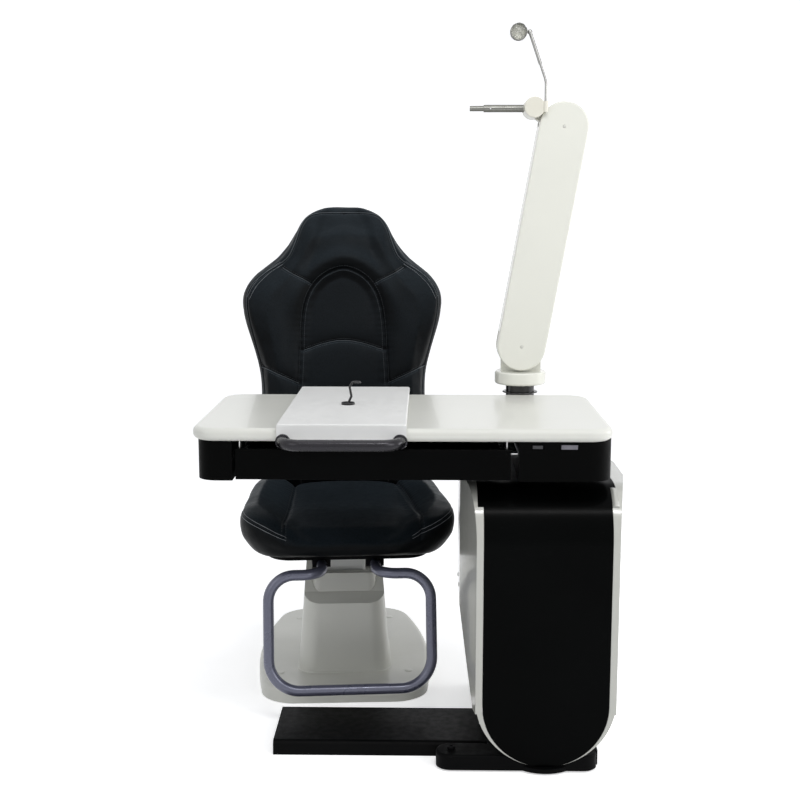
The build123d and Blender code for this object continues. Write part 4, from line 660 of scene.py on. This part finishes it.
def stuffed(name, source, held):
    """A pad's even copy, drawn in a little, blown up as cloth and finely divided.

    held says, from a point of the mesh, whether the foam is glued down there."""
    most_move, voxel, draw_in, frames = 0.012, 0.006, 0.004, 20
    shape = bmesh.new()
    shape.from_mesh(source.data)
    bmesh.ops.remove_doubles(shape, verts=shape.verts, dist=1e-5)
    pad = bpy.data.objects.new(name, mesh_of(name, shape))
    scene.collection.objects.link(pad)
    even = pad.modifiers.new("even", "REMESH")
    even.mode, even.voxel_size = "VOXEL", voxel
    pad.data = bpy.data.meshes.new_from_object(pad.evaluated_get(bpy.context.evaluated_depsgraph_get()))
    pad.modifiers.clear()
    steps = bmesh.new()
    steps.from_mesh(pad.data)
    for turn in range(4):
        bmesh.ops.smooth_vert(steps, verts=steps.verts, factor=0.5, use_axis_x=True, use_axis_y=True, use_axis_z=True)
    steps.to_mesh(pad.data)
    steps.free()
    rest = [v.co.copy() for v in pad.data.vertices]
    loose = [not held(at) for at in rest]
    for vert, free in zip(pad.data.vertices, loose):
        if free:
            vert.co -= vert.normal * draw_in
    glued = pad.vertex_groups.new(name="glued")
    glued.add([i for i, free in enumerate(loose) if not free], 1.0, "REPLACE")
    filling = pad.modifiers.new("filling", "CLOTH")
    filling.settings.vertex_group_mass = "glued"
    filling.settings.use_pressure = True
    filling.settings.uniform_pressure_force = 4.0
    filling.settings.tension_stiffness = filling.settings.compression_stiffness = 30.0
    filling.settings.effector_weights.gravity = 0.0
    for step in range(1, frames + 1):
        scene.frame_set(step)
    blown = pad.evaluated_get(bpy.context.evaluated_depsgraph_get())
    move = np.array([v.co - at for v, at in zip(blown.data.vertices, rest)])
    pad.modifiers.clear()
    scene.frame_set(1)
    move = evened(move, np.array([e.vertices[:] for e in pad.data.edges]).T)
    for vert, at, step in zip(pad.data.vertices, rest, move):
        step = Vector(step)
        vert.co = at + step * min(1.0, most_move / max(step.length, 1e-9))
    pad.vertex_groups.clear()
    fine = pad.modifiers.new("fine", "SUBSURF")
    fine.levels = fine.render_levels = 1
    pad.data = bpy.data.meshes.new_from_object(pad.evaluated_get(bpy.context.evaluated_depsgraph_get()))
    pad.modifiers.clear()
    return pad


def flowing(points, spacing):
    """Even points along a smooth line through the given ones."""
    points = [Vector(p) for p in points]
    ends = [points[0] * 2 - points[1]] + points + [points[-1] * 2 - points[-2]]
    fine = []
    for a, b, c, d in zip(ends, ends[1:], ends[2:], ends[3:]):
        for step in range(16):
            t = step / 16
            square, cube = a * 2 - b * 5 + c * 4 - d, b * 3 - a - c * 3 + d
            fine.append((b * 2 + (c - a) * t + square * t ** 2 + cube * t ** 3) / 2)
    fine.append(points[-1])
    total = sum((b - a).length for a, b in zip(fine, fine[1:]))
    count = max(2, round(total / spacing))
    even, run, due = [fine[0]], 0.0, total / count
    for a, b in zip(fine, fine[1:]):
        span = (b - a).length
        while span > 1e-9 and run + span >= due - 1e-9 and len(even) <= count:
            even.append(a.lerp(b, (due - run) / span))
            due += total / count
        run += span
    return even


def away_from(line, across, along):
    """How far each point of a pad lies from a seam line, in the pad's flat view."""
    least = np.full(across.shape, 9.0)
    for a, b in zip(line, line[1:]):
        way = b - a
        share = np.clip(((across - a.x) * way.x + (along - a.y) * way.y) / way.length_squared, 0, 1)
        least = np.minimum(least, np.hypot(across - a.x - share * way.x, along - a.y - share * way.y))
    return least


def enclosed(loop, across, along):
    """Whether each point of a pad lies inside a closed line."""
    within = np.zeros(across.shape, bool)
    for a, b in zip(loop, loop[1:] + loop[:1]):
        if a.y != b.y:
            within ^= ((a.y > along) != (b.y > along)) & (across < a.x + (along - a.y) * (b.x - a.x) / (b.y - a.y))
    return within


def points_of(pad, kind):
    """The places or normals of a pad's points, in rows."""
    rows = np.empty(len(pad.data.vertices) * 3)
    pad.data.vertices.foreach_get(kind, rows)
    return rows.reshape(-1, 3)


def put_points(pad, places):
    """Gives a pad's points new places."""
    pad.data.vertices.foreach_set("co", places.ravel())
    pad.data.update()


def flat_places(pad, turn):
    """The places of a pad's points in its flat view."""
    return points_of(pad, "co") @ turn[:3, :3].T + turn[:3, 3]


def pressed(pad, flat_view, shift):
    """Moves a pad's points along their normals by what shift says of their place in its flat view."""
    turn = np.array(flat_view.inverted())
    normals = points_of(pad, "normal")
    put_points(pad, points_of(pad, "co") + normals * shift(flat_places(pad, turn), normals @ turn[:3, :3].T)[:, None])


def reshaped(pieces, flat_view, change):
    """Moves the points of pieces to where change puts their flat-view places."""
    turn, way_back = np.array(flat_view.inverted()), np.array(flat_view)
    for piece in pieces:
        local = change(*flat_places(piece, turn).T)
        put_points(piece, np.stack(local, axis=1) @ way_back[:3, :3].T + way_back[:3, 3])


def rays_to(pad):
    """A pad's faces, ready to be met by rays."""
    shape = bmesh.new()
    shape.from_mesh(pad.data)
    tree = BVHTree.FromBMesh(shape)
    shape.free()
    return tree


def on_pad(flat_view, tree, points, toward):
    """Where flat-view points meet a pad, looking along a direction, with the normals there."""
    found = []
    for point in points:
        hit, normal, *_ = tree.ray_cast(flat_view @ Vector(point), flat_view.to_3x3() @ Vector(toward))
        if hit:
            found.append((hit, normal))
    return found


def groove(gap, deep, narrow, soft, wide):
    """How deep a seam draws the cover in at a distance from it: a narrow furrow in a wide one."""
    return deep * np.exp(-(gap / narrow) ** 2) + soft * np.exp(-gap / wide)


def gathers(along, gap, high, pitch, drift, reach):
    """Small uneven waves across a seam, dying out beside it."""
    return high * np.sin(along * 2 * pi / pitch + 3 * np.sin(along * drift)) * np.exp(-gap / reach)


def stitches(name, lines, body, material, length=0.0038, thick=0.00042):
    """Short threads along lines of (place, normal), each a six-sided rod half sunk in the cover."""
    sewn = bmesh.new()
    for line in lines:
        for (a, up), (b, _) in zip(line, line[1:]):
            way = b - a
            if way.length > 3 * length or way.length < length * 0.5:
                continue
            along = way.normalized()
            side = along.cross(up).normalized()
            turn = Matrix((side, side.cross(along) * -1, along)).transposed().to_4x4()
            bmesh.ops.create_cone(sewn, cap_ends=True, segments=6, radius1=thick, radius2=thick, depth=length,
                                  matrix=Matrix.Translation((a + b) / 2 + up * thick * 0.25) @ turn)
    return piece_of(name, mesh_of(name, sewn), material, body, smooth=False)


def beside(line, offset):
    """A flat-view line moved sideways, to the left of the way it runs."""
    moved = []
    for i, at in enumerate(line):
        way = (line[min(i + 1, len(line) - 1)] - line[max(i - 1, 0)]).normalized()
        moved.append(at + Vector((-way.y, way.x)) * offset)
    return moved


def fade(value, near, far):
    """0 at near, 1 at far, smooth between."""
    share = np.clip((value - near) / (far - near), 0, 1)
    return share * share * (3 - 2 * share)


seat_turn = chair_turn @ Matrix.Translation((0.005, 0, 0)) @ Matrix.Rotation(radians(1.6), 4, "Z")
seat_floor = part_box("seat_cushion")[0][2]
seat = stuffed("seat_pad", node["seat_cushion"], lambda at: at.z < seat_floor + 0.012)
seat_channels = [flowing(line, 0.006) for line in (
    [(-0.126, 0.168), (-0.130, 0.06), (-0.139, -0.08), (-0.146, -0.20), (-0.151, -0.28), (-0.152, -0.31)],
    [(0.128, 0.168), (0.138, 0.08), (0.155, -0.06), (0.165, -0.18), (0.170, -0.26), (0.170, -0.30)])]


def seat_shift(local, facing):
    """Sewn channels, drawn-down front ends and small gathers across them."""
    x, y, _ = local.T
    top, deep = fade(facing[:, 2], -0.25, 0.35), fade(y, -0.325, -0.27) * 0.6 + 0.4
    shift = np.zeros(x.shape)
    for line in seat_channels:
        gap = away_from(line, x, y)
        shift += gathers(y, gap, 0.0005, 0.017, 31, 0.012) - deep * groove(gap, 0.0035, 0.0035, 0.006, 0.014)
    return shift * top


pressed(seat, seat_turn, seat_shift)
seat_tree = rays_to(seat)
seat_lines = [on_pad(seat_turn, seat_tree, [(p.x, p.y, 0.8) for p in beside(line, offset)], (0, 0, -1))
              for line in seat_channels for offset in (-0.005, 0.005)]
seat_thread = [stitches("seat_channel_stitches", seat_lines, "chair_top", dark_thread)]


def round_seat(heights, spacing):
    """Points round the seat's edge from (thousands of degrees off the front, height), seen from outside."""
    found = []
    for angle, height in flowing(heights, spacing):
        turn = radians(angle * 1000)
        outward = Vector((sin(turn), -cos(turn), 0))
        found += on_pad(seat_turn, seat_tree, [Vector((0, -0.05, height)) + outward * 0.6], outward * -1)
    return found


corner = ((31, 0.453), (36, 0.458), (44, 0.466), (54, 0.472), (66, 0.476), (80, 0.478), (95, 0.478))
corner_lines = [round_seat([(way * a / 1000, z - drop) for a, z in corner], 0.00082)
                for way in (-1, 1) for drop in (0.0, 0.009)]
seat_thread.append(stitches("seat_corner_stitches", corner_lines, "chair_top", white_thread, 0.0042, 0.00062))


def fuller_seat(x, y, z):
    """Sides that lean outward to the top, and bolsters that rise and widen to the rear.

    The middle falls to the front, and its rear rises to meet the back."""
    across, high = np.abs(x), fade(z, 0.41, 0.465)
    rear = fade(y, -0.16, 0.06) * fade(across, 0.13, 0.21)
    wide = x * (1 + np.interp((z - seat_floor) / 0.1, [0, 0.35, 0.8, 1.2], [-0.012, 0.0, 0.035, 0.05]))
    middle = 0.020 * fade(y, -0.06, 0.14) * (1 - fade(across, 0.13, 0.21))
    lift = 0.018 * rear + 0.011 * fade(across, 0.17, 0.25) + middle
    return (wide + np.sign(x) * rear * 0.018 * fade(z, 0.42, 0.46), y,
            z + high * (lift - 0.020 * fade(-y, 0.12, 0.28) * fade(0.19 - across, 0.0, 0.08)))


def covered(pad):
    """Gives a pad its smooth black cover."""
    pad.data.materials.clear()
    pad.data.materials.append(black_hide)
    for face in pad.data.polygons:
        face.use_smooth = True


reshaped([seat] + seat_thread, seat_turn, fuller_seat)
covered(seat)
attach(seat, "chair_top")
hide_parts("seat_cushion")

# Back: a moulded shell on two struts, and on it a pad with shoulder wings and a head roll.
# The middle panel is let in under the roll, and a piped seam runs round the pad's edge.
back_plastic = finish(
    "back_plastic", coat, {"Mottle": 0.25, "Roughness": 0.5, "Grain": 900.0, "Depth": 0.0001, "Edge": 0.0015,
    "Wear": 2.0}, (0.007, 0.0072, 0.0078), Specular_IOR_Level=0.3)
dress(back_plastic, "back_shell")
back_view = seat_turn @ Matrix.Translation((0, 0.266, 0.440)) @ Matrix.Rotation(radians(-11), 4, "X")
socket_screws("strut_screws", "chair_top",
              [(back_view @ Vector((x, 0.0173, up)), back_view.to_3x3() @ Vector((0, 1, 0)))
               for x in (-0.085, 0.085) for up in (0.12, 0.25)], 0.007, 0.004, zinc_steel)
to_back = back_view.inverted()
back = stuffed("back_pad", node["back_cushion"], lambda at: (to_back @ at).y > -0.01)
half_panel = [(0.116, 0.06), (0.117, 0.16), (0.116, 0.290), (0.112, 0.374), (0.109, 0.455), (0.101, 0.511),
              (0.080, 0.559), (0.045, 0.592), (0.0, 0.607)]
panel_side = [Vector(p) for p in half_panel] + [Vector((-x, w)) for x, w in reversed(half_panel[:-1])]
panel_line = flowing([(p.x, p.y) for p in panel_side], 0.006)
panel_loop = panel_line + [Vector((-0.116, -0.05)), Vector((0.116, -0.05))]
arch_line = flowing([(-0.106, 0.383), (-0.052, 0.401), (0.0, 0.409), (0.052, 0.401), (0.106, 0.383)], 0.006)
wing_lines = [flowing([(way * x, w) for x, w in line], 0.006) for way in (-1, 1) for line in (
    [(0.158, 0.610), (0.13, 0.590), (0.086, 0.566)], [(0.220, 0.338), (0.17, 0.312), (0.120, 0.290)])]
seam_lines = [arch_line] + wing_lines
border = [(0.0, 0.765), (0.05, 0.763), (0.084, 0.752), (0.106, 0.722), (0.124, 0.680), (0.150, 0.634), (0.205, 0.594),
          (0.246, 0.556), (0.258, 0.514), (0.254, 0.47), (0.240, 0.41), (0.222, 0.337), (0.214, 0.26), (0.208, 0.12),
          (0.198, 0.035)]
border_lines = [flowing([(way * x, w) for x, w in border], 0.0062) for way in (-1, 1)]


def back_shift(local, facing):
    """The roll over the let-in panel, the bolsters beside it and the seams."""
    x, _, up = local.T
    front = fade(-facing[:, 1], -0.1, 0.5)
    gap = away_from(panel_line, x, up)
    within = enclosed(panel_loop, x, up)
    high = fade(up, 0.42, 0.56)
    recess = -0.013 * fade(gap, -0.002, 0.026) * within * (0.55 + 0.45 * high)
    roll = 0.013 * np.exp(-((gap - 0.026) / 0.026) ** 2) * ~within * high
    bolster = 0.005 * np.exp(-((gap - 0.05) / 0.035) ** 2) * ~within * (1 - high)
    shift = recess + roll + bolster - groove(gap, 0.004, 0.0035, 0.005, 0.011)
    for line in seam_lines:
        away = away_from(line, x, up)
        shift += gathers(x, away, 0.0005, 0.016, 37, 0.011) - groove(away, 0.0028, 0.0032, 0.0045, 0.013)
    for line in border_lines:
        shift -= groove(away_from(line, x, up), 0.0022, 0.003, 0.0022, 0.009)
    return (shift + gathers(up, gap, 0.00045, 0.019, 29, 0.012)) * front


pressed(back, back_view, back_shift)
back_tree = rays_to(back)


def on_back(line, aside=0.0):
    """Where a line, moved aside, meets the back pad's front."""
    return on_pad(back_view, back_tree, [(p.x, -0.4, p.y) for p in beside(line, aside)], (0, 1, 0))


back_thread = [stitches("back_seam_stitches",
                        [on_back(line, aside) for line in seam_lines for aside in (-0.005, 0.005)]
                        + [on_back(panel_line, aside) for aside in (-0.0055, 0.0055)], "chair_top", dark_thread)]
shoulder = [(0.170, 0.632), (0.205, 0.606), (0.240, 0.572), (0.262, 0.535)]
back_thread.append(stitches("shoulder_stitches",
                            [on_back(flowing([(way * (x - off), w - off) for x, w in shoulder], 0.0052))
                             for way in (-1, 1) for off in (0.006, 0.0125)],
                            "chair_top", white_thread, 0.0042, 0.0004))
back_thread.append(stitches("border_stitches",
                            [on_back(line, aside) for line, aside in zip(border_lines, (0.0045, -0.0045))],
                            "chair_top", dark_thread))
# The cords over the seams and the border welts carry the lighter hide, a painted highlight.
cords = [("back_cord_" + label, line, 0.0006, 0.0011)
         for label, line in zip(("arch", "wing_1", "wing_2", "wing_3", "wing_4"), seam_lines)]
cords += [("back_welt_" + label, line, 0.0002, 0.0013) for label, line in zip(("left", "right"), border_lines)]
for name, line, lift, radius in cords:
    welt = [at + normal * lift for at, normal in on_back(line)]
    back_thread.append(piece_of(name, tube_along(name, welt, radius, False), highlit_seam_hide, "chair_top"))


def fuller_back(x, depth, up):
    """A pad that is wider at the head and shoulders, and taller, than the foam under it."""
    wider = np.interp(up, [0, 0.5, 0.56, 0.60, 0.64, 0.68, 0.716, 0.755],
                         [0.035, 0.03, 0.05, 0.075, 0.06, 0.09, 0.14, 0.2])
    return x * (1 + wider) + 0.004 + 0.006 * fade(up, 0.5, 0.75), depth, up + 0.010 * fade(up, 0.5, 0.76)


reshaped([back] + back_thread, back_view, fuller_back)
covered(back)
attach(back, "chair_top")
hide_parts("back_cushion")

# The studio: a white floor that runs up into a white backdrop, five soft lamps and the camera.
# The camera stands in front of the chair, higher than the arm's collar, looking slightly down.
eye = bpy.data.cameras.new("camera")
eye.lens, eye.sensor_width = 56.25, 36.0
camera = bpy.data.objects.new("camera", eye)
camera.location = (-0.2655, -2.8867, 1.226)
camera.rotation_euler = (radians(90 - 8.777), 0, radians(1.132))
scene.collection.objects.link(camera)
scene.camera = camera
scene.view_settings.view_transform = "Standard"


def white_to_the_eye(tree, shade, white):
    """Mixes a shade for what it lights with white for what is seen or mirrored."""
    path = tree.nodes.new("ShaderNodeLightPath")
    seen = path.outputs["Is Camera Ray"]
    for label in ("Is Glossy Ray", "Is Transmission Ray"):
        seen = sum_of(tree, "MAXIMUM", seen, path.outputs[label])
    mix = tree.nodes.new("ShaderNodeMix")
    mix.data_type = "RGBA"
    mix.inputs["A"].default_value = shade
    mix.inputs["B"].default_value = white
    tree.links.new(seen, mix.inputs["Factor"])
    return mix.outputs["Result"]


world = bpy.data.worlds.new("studio")
scene.world = world
world.use_nodes = True
world.node_tree.links.new(white_to_the_eye(world.node_tree, (0.46, 0.47, 0.49, 1), (1, 1, 1, 1)),
                          world.node_tree.nodes["Background"].inputs["Color"])

sweep = bmesh.new()
bmesh.ops.create_grid(sweep, x_segments=1, y_segments=1, size=6.0)
for edge in [e for e in sweep.edges if min(v.co.y for v in e.verts) > 5.9]:
    moved_out(sweep, bmesh.ops.extrude_edge_only(sweep, edges=[edge]), (0, 0, 6.0))
fold = [e for e in sweep.edges if all(v.co.y > 5.9 and v.co.z < 0.1 for v in e.verts)]
bmesh.ops.bevel(sweep, geom=fold, offset=2.0, segments=24, profile=0.5, affect="EDGES", material=-1)
sweep_mesh = bpy.data.meshes.new("studio_floor")
sweep.to_mesh(sweep_mesh)
sweep.free()
for face in sweep_mesh.polygons:
    face.use_smooth = True
studio_floor = bpy.data.objects.new("studio_floor", sweep_mesh)
scene.collection.objects.link(studio_floor)
paper = bpy.data.materials.new("studio_paper")
paper.use_nodes = True
paper_shader = paper.node_tree.nodes["Principled BSDF"]
for label, value in (("Base Color", (0.93, 0.93, 0.93, 1)), ("Roughness", 0.9), ("Specular IOR Level", 0.0),
                     ("Emission Strength", 1.0)):
    paper_shader.inputs[label].default_value = value
paper.node_tree.links.new(white_to_the_eye(paper.node_tree, (0.0, 0.0, 0.0, 1), (0.5, 0.5, 0.5, 1)),
                          paper_shader.inputs["Emission Color"])
sweep_mesh.materials.append(paper)


def soft_lamp(name, at, aim, width, height, power):
    """An area lamp that points at a place."""
    lamp = bpy.data.lights.new(name, "AREA")
    lamp.shape, lamp.size, lamp.size_y, lamp.energy = "RECTANGLE", width, height, power
    stand = bpy.data.objects.new(name, lamp)
    stand.location = at
    stand.rotation_euler = (Vector(aim) - Vector(at)).to_track_quat("-Z", "Y").to_euler()
    scene.collection.objects.link(stand)


soft_lamp("lamp_left", (-2.6, -2.6, 2.6), (-0.3, 0.1, 0.7), 1.8, 1.8, 16)
soft_lamp("lamp_right", (2.4, -2.4, 2.4), (-0.2, 0.1, 0.8), 1.8, 1.8, 34)
soft_lamp("lamp_above", (-0.3, 0.2, 3.6), (-0.3, 0.2, 0.6), 2.4, 2.4, 14)
soft_lamp("lamp_front", (0.25, -1.85, 3.3), (0.0, -0.25, 0.6), 1.7, 0.35, 30)
soft_lamp("lamp_side", (3.0, 0.6, 1.2), (0.0, 0.3, 0.6), 1.4, 1.4, 34)
